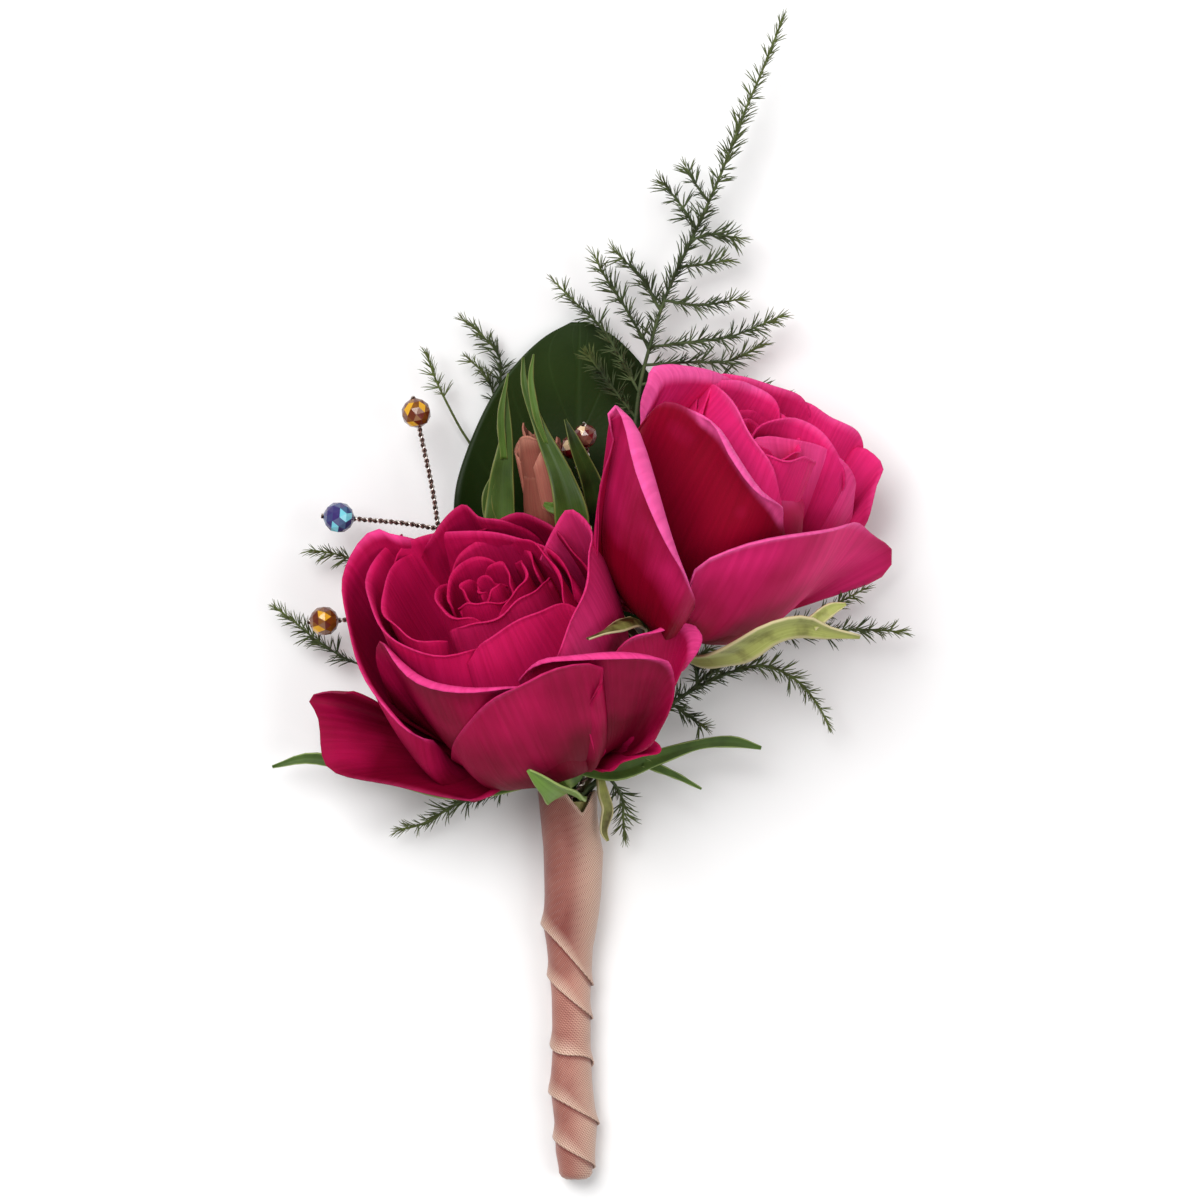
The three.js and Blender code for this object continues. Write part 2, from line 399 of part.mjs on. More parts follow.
// A grid of points given a thickness, with both faces split alike
function sheet(grid, thickness) {
  const rows = grid.length;
  const columns = grid[0].length;
  const within = (i, count) => THREE.MathUtils.clamp(i, 0, count - 1);
  const at = (i, j) => grid[within(i, rows)][within(j, columns)];
  const points = [];
  for (const side of [0.5, -0.5]) {
    for (let i = 0; i < rows; i++) {
      for (let j = 0; j < columns; j++) {
        const along = at(i + 1, j).clone().sub(at(i - 1, j));
        const across = at(i, j + 1).clone().sub(at(i, j - 1));
        const normal = along.cross(across).normalize();
        points.push(at(i, j).clone().addScaledVector(normal, side * thickness));
      }
    }
  }
  const front = (i, j) => i * columns + j;
  const back = (i, j) => rows * columns + front(i, j);
  const triangles = [];
  for (let i = 0; i < rows - 1; i++) {
    for (let j = 0; j < columns - 1; j++) {
      triangles.push(...quad(front(i, j), front(i + 1, j), front(i + 1, j + 1), front(i, j + 1)));
      const [a, b, c, d] = [back(i, j), back(i + 1, j), back(i + 1, j + 1), back(i, j + 1)];
      triangles.push([a, c, b], [a, d, c]);
    }
  }
  const rim = [];
  for (let i = 0; i < rows - 1; i++) rim.push([i, 0]);
  for (let j = 0; j < columns - 1; j++) rim.push([rows - 1, j]);
  for (let i = rows - 1; i > 0; i--) rim.push([i, columns - 1]);
  for (let j = columns - 1; j > 0; j--) rim.push([0, j]);
  rim.forEach((here, k) => {
    const next = rim[(k + 1) % rim.length];
    triangles.push(...quad(front(...here), back(...here), back(...next), front(...next)));
  });
  return facingOut(closedSolid(geometryFrom(points, triangles)), points, triangles);
}

// The same mesh turned inside out where its volume came out negative
function facingOut(solid, points, triangles) {
  if (solid.volume() > 0) return solid;
  return closedSolid(geometryFrom(points, triangles.map(([a, b, c]) => [a, c, b])));
}

// Shares of the length at which the curve passes its own points and the places between them
function ownStations(curve, steps) {
  const lengths = curve.getLengths(steps * 8);
  return Array.from({ length: steps + 1 }, (_, i) => lengths[i * 8] / lengths[lengths.length - 1]);
}

// The direction out of a curve at a share of its length, by the angle round it
function outwardOf(curve) {
  const frames = curve.computeFrenetFrames(FRAME_STEPS, false);
  return (share, angle) => {
    const index = Math.round(share * FRAME_STEPS);
    return frames.normals[index].clone().multiplyScalar(Math.cos(angle))
      .addScaledVector(frames.binormals[index], Math.sin(angle));
  };
}

// A round stalk through points, with a radius for each
function stalk(points, radii, sides, perSpan = 2) {
  const curve = curveThrough(points);
  const outward = outwardOf(curve);
  const steps = perSpan * (points.length - 1);
  const ring = [];
  ownStations(curve, steps).forEach((share, i) => {
    const radius = readAlong(radii, i / steps);
    for (let k = 0; k < sides; k++) {
      ring.push(curve.getPointAt(share).addScaledVector(outward(share, (2 * Math.PI * k) / sides), radius));
    }
  });
  const triangles = [];
  for (let i = 0; i < steps; i++) {
    for (let k = 0; k < sides; k++) {
      const next = (k + 1) % sides;
      triangles.push(...quad(i * sides + k, i * sides + next, (i + 1) * sides + next, (i + 1) * sides + k));
    }
  }
  for (let k = 1; k < sides - 1; k++) {
    triangles.push([0, k + 1, k], [steps * sides, steps * sides + k, steps * sides + k + 1]);
  }
  return facingOut(closedSolid(geometryFrom(ring, triangles)), ring, triangles);
}

// A turned solid on a flower's axis, from pairs of radius and height
function turned(frame, profile, sides) {
  const outline = profile.map(([radius, height]) => new THREE.Vector2(radius, height));
  const geometry = new THREE.LatheGeometry(outline, sides);
  const third = frame.front.clone().cross(frame.axis);
  const basis = new THREE.Matrix4().makeBasis(frame.front, frame.axis, third);
  geometry.applyMatrix4(basis.setPosition(frame.base));
  return closedSolid(mergeVertices(withoutExtras(geometry), 1e-4));
}

function withoutExtras(geometry) {
  geometry.deleteAttribute('normal');
  geometry.deleteAttribute('uv');
  return geometry;
}

function joined(solids) {
  return solids.reduce((all, one) => all.add(one));
}

// The outer skin of the biggest body: spaces shut in by the join are filled and scraps go
function oneBody(solid) {
  const bodies = solid.decompose();
  return bodies.reduce((best, body) => (body.volume() > best.volume() ? body : best));
}

const TABLE = closedSolid(withoutExtras(new THREE.BoxGeometry(300, 300, 20).translate(0, 0, -10)));
const restedOnTable = (solid) => solid.subtract(TABLE);

function node(name, solid, colour, roughness, metalness = 0) {
  const { vertProperties, triVerts } = solid.getMesh();
  const geometry = new THREE.BufferGeometry();
  geometry.setAttribute('position', new THREE.BufferAttribute(vertProperties, 3));
  geometry.setIndex(new THREE.BufferAttribute(triVerts, 1));
  const material = new THREE.MeshStandardMaterial({ color: colour, roughness, metalness });
  const mesh = new THREE.Mesh(geometry, material);
  mesh.name = name;
  return mesh;
}

// ---- petals ----
// A lip point's place round the flower, from its place in plan and its height up the axis
function lipInFlower(frame, [x, y, height]) {
  const offset = new THREE.Vector2(x - frame.base.x, y - frame.base.y);
  const up = offset.x * frame.plan.x + offset.y * frame.plan.y;
  const side = offset.x * frame.side.x + offset.y * frame.side.y;
  const front = (height * Math.cos(frame.tilt) - up) / Math.sin(frame.tilt);
  return [front, side, height];
}

// From the flower's base out to each lip point, with the lip rolled back over an arc
function petalGrid(frame, petal, { rows, columns, rollRows, from = 0 }) {
  const { belly, low = 0.62, roll = 1.8 } = petal;
  const curve = curveThrough(petal.lip.map((point) => lipInFlower(frame, point)));
  const grid = Array.from({ length: rows + rollRows }, () => []);
  for (let j = 0; j < columns; j++) {
    const share = curve.getUtoTmapping(j / (columns - 1));
    const { x: front, y: side, z: height } = curve.getPoint(share);
    const rolled = Math.max(readAlong(petal.lip.map((point) => point[3]), share), 0.15);
    const radius = Math.hypot(front, side);
    const angle = Math.atan2(side, front);
    const full = Math.min(1, height / 16);
    const waist = radius < belly
      ? ((belly + radius) / 2) * (0.5 + 0.5 * full)
      : belly + (radius - belly) * 0.45;
    const lip = new THREE.Vector2(radius, height);
    const shoulder = new THREE.Vector2(waist, height * low);
    const along = lip.clone().sub(shoulder).normalize();
    const outward = new THREE.Vector2(along.y, -along.x);
    const over = along.clone().multiplyScalar(roll * Math.sin(Math.min(rolled / roll, Math.PI / 2)));
    const profile = new THREE.CubicBezierCurve(
      new THREE.Vector2(1, 0), new THREE.Vector2(belly * full * 0.95, 0), shoulder.sub(over), lip.sub(over),
    );
    for (let i = 0; i < rows; i++) {
      const spot = profile.getPoint(mix(from, 1, i / (rows - 1)));
      grid[i].push(inFlower(frame, spot.x, angle, spot.y));
    }
    for (let i = 1; i <= rollRows; i++) {
      const bend = ((rolled / roll) * i) / rollRows;
      const spot = lip.clone()
        .addScaledVector(along, roll * Math.sin(bend))
        .addScaledVector(outward, roll * (1 - Math.cos(bend)));
      grid[rows - 1 + i].push(inFlower(frame, spot.x, angle, spot.y));
    }
  }
  return grid;
}

// The small petals of the middle, each a golden turn on from the last and nearer the axis
function heartPetals(frame, { count, radius, height, start, half }) {
  return Array.from({ length: count }, (_, i) => {
    const share = i / (count - 1);
    const reach = mix(radius[0], radius[1], share ** 0.9);
    const top = mix(height[0], height[1], share);
    const lip = [-1, -0.66, -0.33, 0, 0.33, 0.66, 1].map((side) => {
      const angle = radians(start + GOLDEN_TURN * i + half * side);
      const drop = 3 * Math.abs(side) ** 2.5;
      const spot = inFlower(frame, reach * (1 + 0.03 * side), angle, top - drop);
      return [spot.x, spot.y, top - drop, (1 - 0.6 * share) * (1 - Math.abs(side) ** 3)];
    });
    return { belly: reach * 1.25, roll: 1, lip };
  });
}

// Every petal's root is sunk in the core, and its upper part stands free of it
function bloom(frame, outer, rims, heart, core, sides = 14) {
  const solids = [turned(frame, core, sides)];
  const grow = (petal, detail) => solids.push(sheet(petalGrid(frame, petal, detail), PETAL));
  outer.forEach((petal) => {
    const rollRows = petal.roll ? 2 : 1;
    grow(petal, { rows: 3, columns: 7, rollRows, from: 0.42 });
  });
  rims.forEach((petal) => grow(petal, { rows: 2, columns: 5, rollRows: 1, from: 0.68 }));
  heartPetals(frame, heart).forEach((petal) => {
    grow(petal, { rows: 2, columns: 5, rollRows: 1, from: 0.78 });
  });
  return oneBody(joined(solids));
}

// The outer petals with the clearance added on both faces: what a neighbour must stay out of
function roomRound(frame, petals) {
  return joined(petals.map((petal) => {
    const grid = petalGrid(frame, petal, { rows: 3, columns: 7, rollRows: petal.roll ? 2 : 1, from: 0.42 });
    return sheet(grid, PETAL + 2 * GAP);
  }));
}

// ---- green parts ----
// A pointed blade along a middle line, a little folded along it
function blade({ path, half, facing = [0, 0, 1] }, steps = 5) {
  const curve = curveThrough(path);
  const grid = [];
  for (let i = 0; i <= steps; i++) {
    const centre = curve.getPointAt(i / steps);
    const tangent = curve.getTangentAt(i / steps);
    const side = tangent.clone().cross(vec(facing)).normalize();
    const lift = side.clone().cross(tangent).normalize();
    const width = readAlong(half, i / steps);
    grid.push([-1, 0, 1].map((column) => centre.clone()
      .addScaledVector(side, column * width)
      .addScaledVector(lift, 0.25 * width * Math.abs(column))));
  }
  return sheet(grid, PETAL);
}

function slotPoint(slot, depth) {
  const point = vec(HANDLE.mouth).lerp(vec(HANDLE.foot), depth / (HANDLE.mouth[1] - HANDLE.foot[1]));
  return [point.x + slot.at[0], point.y, point.z + slot.at[1]];
}

// The straight part of a stem, from the bottom of its slot to just below the mouth
function insideHandle(slot) {
  return [slot.depth, ...HANDLE.straight].map((depth) => slotPoint(slot, depth));
}

// A stem from the bottom of its slot in the handle, out of the mouth and on through its points
function stemFromHandle(slot, points, radii, sides = 6) {
  const straight = insideHandle(slot);
  const path = [...straight, ...points];
  return stalk(path, [...straight.map(() => slot.radius), ...radii], sides);
}

function calyx(frame, cup, sepals, slot, stemPoints) {
  const neck = inFlower(frame, 0, 0, cup[0][1] + STEM_SUNK).toArray();
  const radii = [...stemPoints.map(() => BLOOM_STEM), 1.4 * BLOOM_STEM];
  return oneBody(joined([
    turned(frame, cup, 8),
    stemFromHandle(slot, [...stemPoints, neck], radii, 6),
    ...sepals.map((sepal) => blade(sepal)),
  ]));
}

function lemonLeaf() {
  const { stations, foot, sunk, reach, flat, lift, tipLift, tipFrom, wave, columns, thickness } = LEAF;
  const blade = stations[stations.length - 1][0];
  const grid = stations.map(([distance, middle, half]) => columns.map((column) => {
    const across = column * half;
    const edge = column < 0 ? 'left' : 'right';
    const beyond = Math.max(Math.abs(across) - flat[edge], 0) / (reach - flat[edge]);
    const ripple = wave * Math.sin(distance * 0.45 + column * 2) * Math.abs(column) ** 3;
    const tip = tipLift * THREE.MathUtils.smoothstep(distance, tipFrom, blade);
    const z = thickness / 2 - sunk + lift[edge] * beyond ** 1.4 + ripple * beyond + tip;
    return new THREE.Vector3(middle + across, foot + distance, z);
  }));
  const petiole = stemFromHandle(SLOT.leaf, [[-2.6, -25.4, 2.4], [-1.9, -21, 0.9], [-1.8, -14, 0.62]],
    [0.45, LEAF.petioleRadius, 0.35], 6);
  return oneBody(restedOnTable(sheet(grid, thickness).add(petiole)));
}

// ---- fern ----
function boxesMeet(a, b) {
  return [0, 1, 2].every((k) => a.min[k] < b.max[k] && b.min[k] < a.max[k]);
}

function isClear(solid, others) {
  const box = solid.boundingBox();
  if (box.min[2] < GAP) return false;
  return others.every((other) => !boxesMeet(box, other.boundingBox()) || solid.intersect(other).isEmpty());
}

// The room that a needle needs: a thin rod round it with the clearance added
function needleRoom(root, tip) {
  const along = tip.clone().sub(root).normalize();
  return stalk([root.toArray(), tip.clone().addScaledVector(along, GAP).toArray()], [GAP, GAP], 4, 1);
}

// A four-sided stem in short lengths. On each leafy length two opposite faces are drawn out to needles,
// the next two on the length after it, and the stem narrows to the tip.
function fernBranch(path, radius, bare, others, random) {
  const { length, step, spread } = NEEDLE;
  const curve = curveThrough(path);
  const total = curve.getLength();
  const leafy = Math.max(Math.round(((1 - bare) * total) / step), 1);
  const stations = ownStations(curve, 2 * (path.length - 1)).filter((share) => share < bare - 0.01);
  const plain = stations.length;
  for (let i = 0; i <= leafy; i++) stations.push(mix(bare, 1, i / leafy));
  const outward = outwardOf(curve);
  const points = [];
  const triangles = [];
  stations.forEach((share) => {
    const reach = radius * mix(1, 0.45, share ** 2);
    for (let k = 0; k < 4; k++) {
      points.push(curve.getPointAt(share).addScaledVector(outward(share, (Math.PI / 2) * k), reach));
    }
  });
  for (let i = 0; i < stations.length - 1; i++) {
    for (let k = 0; k < 4; k++) {
      const next = (k + 1) % 4;
      const corners = [4 * i + k, 4 * i + next, 4 * (i + 1) + next, 4 * (i + 1) + k];
      const share = (stations[i] + stations[i + 1]) / 2;
      const jitter = random() - 0.5;
      const draw = i >= plain && (k + i) % 2 === 0;
      const lean = radians(mix(spread, 20, share ** 6) + 16 * jitter);
      const direction = curve.getTangentAt(share).multiplyScalar(Math.cos(lean))
        .addScaledVector(outward(share, (Math.PI / 2) * (k + 0.5) + 0.5 * jitter), Math.sin(lean));
      const root = curve.getPointAt(share);
      const reach = length * mix(1, 0.6, share ** 3) * (1 + 0.25 * jitter);
      const tip = root.clone().addScaledVector(direction, reach);
      if (draw && isClear(needleRoom(root, tip), others)) {
        const apex = points.push(tip) - 1;
        corners.forEach((corner, n) => triangles.push([corner, corners[(n + 1) % 4], apex]));
      } else {
        triangles.push(...quad(...corners));
      }
    }
  }
  const last = 4 * (stations.length - 1);
  const apex = points.push(curve.getPointAt(1).addScaledVector(curve.getTangentAt(1), 1.6)) - 1;
  for (let k = 0; k < 4; k++) triangles.push([last + k, last + ((k + 1) % 4), apex]);
  triangles.push([0, 2, 1], [0, 3, 2]);
  return facingOut(closedSolid(geometryFrom(points, triangles)), points, triangles);
}

// A small seeded generator, so that every build draws the same needles
function seeded(seed) {
  let state = seed;
  return () => {
    state = (state * 16807) % 2147483647;
    return state / 2147483647;
  };
}

function fernSpray(slot, branches, others, seed) {
  const random = seeded(seed);
  const [stem, ...sides] = branches;
  const whole = [...insideHandle(slot), ...stem.path];
  const reach = curveThrough(whole).getLength();
  const leafy = curveThrough(stem.path).getLength() * (1 - stem.bare);
  const solids = [fernBranch(whole, slot.radius, 1 - leafy / reach, others, random)];
  sides.forEach(({ path, bare = 0.06 }) => solids.push(fernBranch(path, 0.26, bare, others, random)));
  return oneBody(joined(solids));
}

// ---- beads and their wires ----
function beadDirection({ at, from }) {
  return vec(at).sub(vec(from)).normalize();
}

function bead(data) {
  const direction = beadDirection(data);
  const ball = closedSolid(withoutExtras(new THREE.IcosahedronGeometry(data.radius, 1)));
  const bore = closedSolid(withoutExtras(new THREE.CylinderGeometry(BEAD_BORE, BEAD_BORE, 8, 4)));
  const place = new THREE.Matrix4().makeRotationFromQuaternion(
    new THREE.Quaternion().setFromUnitVectors(new THREE.Vector3(0, 1, 0), direction),
  ).setPosition(vec(data.at));
  return ball.subtract(bore).transform(place.elements);
}

// Each arm runs straight through its bead and ends in a small stop
function beadWires(slot, { trunk, arms }) {
  const solids = [stemFromHandle(slot, trunk, trunk.map(() => WIRE), 4)];
  for (const [start, index] of arms) {
    const data = BEADS[index];
    const direction = beadDirection(data);
    const end = vec(data.at).addScaledVector(direction, data.radius + GAP).toArray();
    const neck = vec(data.at).addScaledVector(direction, -data.radius - 1).toArray();
    solids.push(stalk([start, data.from, neck, end], [WIRE, WIRE, WIRE * 0.9, WIRE * 0.8], 4));
  }
  return oneBody(joined(solids));
}

// ---- handle ----
// One sleeve: rows from the mouth down the outside, round the foot and back up the bore
function sleeve(outside, inside, sides) {
  const loop = [...outside, ...inside];
  const points = [];
  for (const row of loop) {
    for (let k = 0; k < sides; k++) {
      const angle = (2 * Math.PI * k) / sides;
      const depth = row.depth(angle);
      const centre = vec(slotPoint({ at: [row.across?.(depth) ?? 0, 0] }, depth));
      const radius = row.radius(angle, depth);
      points.push(centre.add(new THREE.Vector3(radius * Math.cos(angle), 0, radius * Math.sin(angle))));
    }
  }
  const triangles = [];
  for (let i = 0; i < loop.length; i++) {
    const down = ((i + 1) % loop.length) * sides;
    for (let k = 0; k < sides; k++) {
      const next = (k + 1) % sides;
      triangles.push(...quad(i * sides + k, i * sides + next, down + next, down + k));
    }
  }
  return facingOut(closedSolid(geometryFrom(points, triangles)), points, triangles);
}

// A column of a table whose first column is depth, read at a depth
function atDepth(table, depth, column = 1) {
  const i = THREE.MathUtils.clamp(table.findIndex((row) => row[0] > depth), 1, table.length - 1);
  const [above, below] = [table[i - 1], table[i]];
  const share = THREE.MathUtils.clamp((depth - above[0]) / (below[0] - above[0]), 0, 1);
  return mix(above[column], below[column], share);
}

// How far below this place the next edge of the winding lies
function toNextEdge(angle, depth) {
  const { edges, slants, lastPitch } = HANDLE;
  const round = Math.PI / 2 - angle;
  const wound = round > Math.PI ? round - 2 * Math.PI : round < -Math.PI ? round + 2 * Math.PI : round;
  const below = edges.map((edge, i) => {
    const pitch = (edges[i + 1] ?? edge + lastPitch) - edge;
    return edge + (pitch * wound) / (2 * Math.PI) + slants[i] * Math.sin(wound) - depth;
  }).filter((distance) => distance >= 0);
  return Math.min(...below, Infinity);
}

function ribbonWrap() {
  const { outline, relief, rise, notch, notchTurn, bore, tuck, fold, rows, sides } = HANDLE;
  const length = HANDLE.mouth[1] - HANDLE.foot[1];
  const cut = (angle) => notch * Math.max(0, Math.cos(angle - radians(notchTurn))) ** 8;
  const lift = (angle, depth) => relief * Math.max(0, 1 - toNextEdge(angle, depth) / rise) ** 1.5;
  const outer = (angle, depth) => atDepth(outline, depth, 2) + lift(angle, depth);
  const across = (depth) => atDepth(outline, depth, 1);
  const row = (depth, radius) => ({ depth: () => depth, radius: () => radius });
  const outside = Array.from({ length: rows }, (_, i) => ({
    depth: (angle) => mix(cut(angle), length - tuck, i / (rows - 1)), radius: outer, across,
  }));
  const end = fold.map(([short, radius]) => ({ ...row(length - short, radius), across }));
  const inside = bore.slice(1).reverse().map(([depth, radius]) => row(depth, radius));
  inside.push({ depth: cut, radius: () => bore[0][1] });
  return oneBody(restedOnTable(sleeve([...outside, ...end], inside, sides)));
}

function floralTape() {
  const { tape, tapeWall, tapeSides } = HANDLE;
  const rows = tape.map(([depth, radius]) => ({ depth: () => depth, radius: () => radius }));
  const inner = tape.map(([depth, radius]) => ({ depth: () => depth, radius: () => radius - tapeWall }));
  return sleeve(rows, inner.reverse(), tapeSides);
}

// ---- the whole piece ----
const openFrame = flowerFrame(OPEN_ROSE);
const sideFrame = flowerFrame(SIDE_ROSE);
const budFrame = flowerFrame(BUD);
const openGreen = [...OPEN_ROSE_SEPALS, OPEN_ROSE_CURL];
const sideGreen = [...SIDE_ROSE_SEPALS, SIDE_ROSE_BRACT];

const solids = {
  ribbon_wrap: [ribbonWrap(), COLOURS.ribbon, 0.6],
  floral_tape: [floralTape(), COLOURS.tape, 0.8],
  open_rose_petals: [
    bloom(openFrame, OPEN_ROSE_PETALS, OPEN_ROSE_RIMS, OPEN_ROSE_HEART, OPEN_ROSE_CORE),
    COLOURS.openRose, 0.5,
  ],
  open_rose_calyx: [
    calyx(openFrame, ROSE_CUP, openGreen, SLOT.openRose, OPEN_ROSE_STEM), COLOURS.calyx, 0.6,
  ],
  side_rose_petals: [
    oneBody(
      bloom(sideFrame, SIDE_ROSE_PETALS, SIDE_ROSE_RIMS, SIDE_ROSE_HEART, SIDE_ROSE_CORE)
        .subtract(roomRound(openFrame, [...OPEN_ROSE_PETALS, ...OPEN_ROSE_RIMS])),
    ),
    COLOURS.sideRose, 0.5,
  ],
  side_rose_calyx: [
    calyx(sideFrame, ROSE_CUP, sideGreen, SLOT.sideRose, SIDE_ROSE_STEM), COLOURS.paleCalyx, 0.6,
  ],
  bud_petals: [bloom(budFrame, [], [], BUD_PETALS, BUD_CORE, 8), COLOURS.bud, 0.5],
  bud_calyx: [calyx(budFrame, BUD_CUP, BUD_SEPALS, SLOT.bud, BUD_STEM), COLOURS.calyx, 0.6],
  lemon_leaf: [lemonLeaf(), COLOURS.leaf, 0.35],
  bead_wires_left: [beadWires(SLOT.wireLeft, WIRES_LEFT), COLOURS.wire, 0.3, 0.9],
  bead_wires_centre: [beadWires(SLOT.wireCentre, WIRES_CENTRE), COLOURS.wire, 0.3, 0.9],
};
for (const data of BEADS) {
  const colour = COLOURS[data.name.split('_')[1]];
  solids[data.name] = [bead(data), colour, 0.1];
}
const sprays = {
  fern_tall: [SLOT.fernTall, FERN_TALL],
  fern_left: [SLOT.fernLeft, FERN_LEFT],
  fern_right: [SLOT.fernRight, FERN_RIGHT],
  fern_low_left: [SLOT.fernLowLeft, FERN_LOW_LEFT],
  fern_low_right: [SLOT.fernLowRight, FERN_LOW_RIGHT],
};
Object.entries(sprays).forEach(([name, [slot, branches]], i) => {
  const others = Object.values(solids).map(([solid]) => solid);
  solids[name] = [fernSpray(slot, branches, others, 101 + i), COLOURS.fern, 0.7];
});

const group = new THREE.Group();
for (const [name, parts] of Object.entries(solids)) {
  group.add(node(name, ...parts));
}

export default group;
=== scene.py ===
import json
import math
import random

import bpy
import numpy as np
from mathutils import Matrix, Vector

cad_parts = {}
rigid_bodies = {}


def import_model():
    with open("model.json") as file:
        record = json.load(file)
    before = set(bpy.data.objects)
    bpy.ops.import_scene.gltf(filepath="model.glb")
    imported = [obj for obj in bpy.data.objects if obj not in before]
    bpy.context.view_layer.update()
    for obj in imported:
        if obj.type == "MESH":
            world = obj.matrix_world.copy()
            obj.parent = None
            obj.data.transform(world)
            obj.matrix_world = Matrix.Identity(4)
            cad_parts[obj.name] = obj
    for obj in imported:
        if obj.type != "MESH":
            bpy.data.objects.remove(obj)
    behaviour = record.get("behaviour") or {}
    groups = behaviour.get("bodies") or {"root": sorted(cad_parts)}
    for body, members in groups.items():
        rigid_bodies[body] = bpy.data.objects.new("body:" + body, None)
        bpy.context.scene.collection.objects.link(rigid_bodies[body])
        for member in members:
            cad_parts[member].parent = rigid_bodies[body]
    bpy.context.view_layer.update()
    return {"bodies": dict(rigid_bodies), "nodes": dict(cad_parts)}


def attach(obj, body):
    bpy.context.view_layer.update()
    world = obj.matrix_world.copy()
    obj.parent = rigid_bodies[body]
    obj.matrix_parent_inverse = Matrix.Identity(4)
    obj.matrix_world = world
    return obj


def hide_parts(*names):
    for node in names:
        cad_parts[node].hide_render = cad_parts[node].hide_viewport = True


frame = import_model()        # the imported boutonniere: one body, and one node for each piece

body = list(frame["bodies"])[0]
mm = 0.001
goldenTurn = 137.5       # degrees from one petal or needle to the next
scene = bpy.context.scene


# paths and meshes
def unit(v):
    v = np.asarray(v, float)
    return v / max(np.linalg.norm(v), 1e-9)


# a smooth line through points, evenly spaced; extra columns such as a width are carried along
def throughPoints(points, count):
    pts = np.array(points, float)
    ends = np.vstack([2 * pts[0] - pts[1], pts, 2 * pts[-1] - pts[-2]])
    t = np.linspace(0, 1, 24, endpoint=False)[:, None]
    runs = []
    for a, b, c, d in zip(ends[:-3], ends[1:-2], ends[2:-1], ends[3:]):
        runs.append(0.5 * (2 * b + (c - a) * t + (2 * a - 5 * b + 4 * c - d) * t ** 2
                           + (3 * b - a - 3 * c + d) * t ** 3))
    line = np.vstack(runs + [pts[-1:]])
    along = np.r_[0, np.cumsum(np.linalg.norm(np.diff(line[:, :3], axis=0), axis=1))]
    want = np.linspace(0, along[-1], count)
    return np.array([np.interp(want, along, line[:, k]) for k in range(line.shape[1])]).T


def pathLength(points):
    line = throughPoints(points, 60)[:, :3]
    return float(np.linalg.norm(np.diff(line, axis=0), axis=1).sum())


def readAlong(values, share):
    return np.interp(np.asarray(share) * (len(values) - 1), range(len(values)), values)


def smoothStep(low, high, x):
    t = np.clip((np.asarray(x, float) - low) / (high - low), 0, 1)
    return t * t * (3 - 2 * t)


def addObject(name, data):
    made = bpy.data.objects.new(name, data)
    scene.collection.objects.link(made)
    return made


# collects grids of points, with a UV map, a tone for each grid and a weight for its thickness
class Shape:
    def __init__(self):
        self.points, self.faces, self.uvs, self.tones, self.weights = [], [], [], [], []
        self.count = 0

    def addGrid(self, grid, tone=0.0, weights=None, ring=False, size=(1, 1), uv=None):
        rows, columns = grid.shape[:2]
        self.points.append(grid.reshape(-1, 3))
        self.tones += list(np.broadcast_to(tone, (rows, columns)).ravel())
        self.weights += list(np.ones(rows * columns) if weights is None else np.repeat(weights, columns))
        width = columns if ring else columns - 1
        for i in range(rows - 1):
            for j in range(width):
                k = (j + 1) % columns
                self.faces.append([self.count + r * columns + c for r, c in ((i, j), (i, k), (i + 1, k), (i + 1, j))])
                for r, c in ((i, j), (i, j + 1), (i + 1, j + 1), (i + 1, j)):
                    own = (c / width * size[0], r / (rows - 1) * size[1]) if uv is None else tuple(uv[r, c])
                    self.uvs.append(own)
        self.count += rows * columns

    def addCap(self, ring, flip=False):
        order = list(range(self.count, self.count + len(ring)))
        self.points.append(np.array(ring, float))
        self.tones += [0.0] * len(ring)
        self.weights += [1.0] * len(ring)
        self.faces.append(order[::-1] if flip else order)
        self.uvs += [(0.5, 0.5)] * len(ring)
        self.count += len(ring)

    def toObject(self, name):
        mesh = bpy.data.meshes.new(name)
        mesh.from_pydata((np.vstack(self.points) * mm).tolist(), [], self.faces)
        mesh.uv_layers.new(name="UVMap").data.foreach_set("uv", np.array(self.uvs, float).ravel())
        mesh.attributes.new("tone", "FLOAT", "POINT").data.foreach_set("value", np.array(self.tones, float))
        mesh.shade_smooth()
        made = addObject(name, mesh)
        group = made.vertex_groups.new(name="thin")
        for weight in sorted(set(np.round(self.weights, 2))):
            members = np.nonzero(np.round(self.weights, 2) == weight)[0].tolist()
            group.add(members, float(weight), "REPLACE")
        return made


# what the modifiers make becomes a plain mesh, and the modifiers go
def settle(made):
    bpy.context.view_layer.update()
    graph = bpy.context.evaluated_depsgraph_get()
    mesh = bpy.data.meshes.new_from_object(made.evaluated_get(graph), preserve_all_data_layers=True, depsgraph=graph)
    name = made.name
    bpy.data.objects.remove(made)
    mesh.name = name
    return addObject(name, mesh)


def thicken(made, thickness):
    solid = made.modifiers.new("thickness", "SOLIDIFY")
    solid.thickness = thickness * mm
    solid.offset = 0
    solid.use_quality_normals = True
    solid.vertex_group = "thin"
    solid.thickness_vertex_group = 0.3
    return settle(made)


def joinPieces(name, parts):
    bpy.ops.object.select_all(action="DESELECT")
    for part in parts:
        part.select_set(True)
    bpy.context.view_layer.objects.active = parts[0]
    bpy.ops.object.join()
    parts[0].name = parts[0].data.name = name
    return parts[0]


def dress(made, material):
    made.data.materials.clear()
    made.data.materials.append(material)


def finishPiece(made, nodeName):
    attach(made, body)
    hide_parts(nodeName)


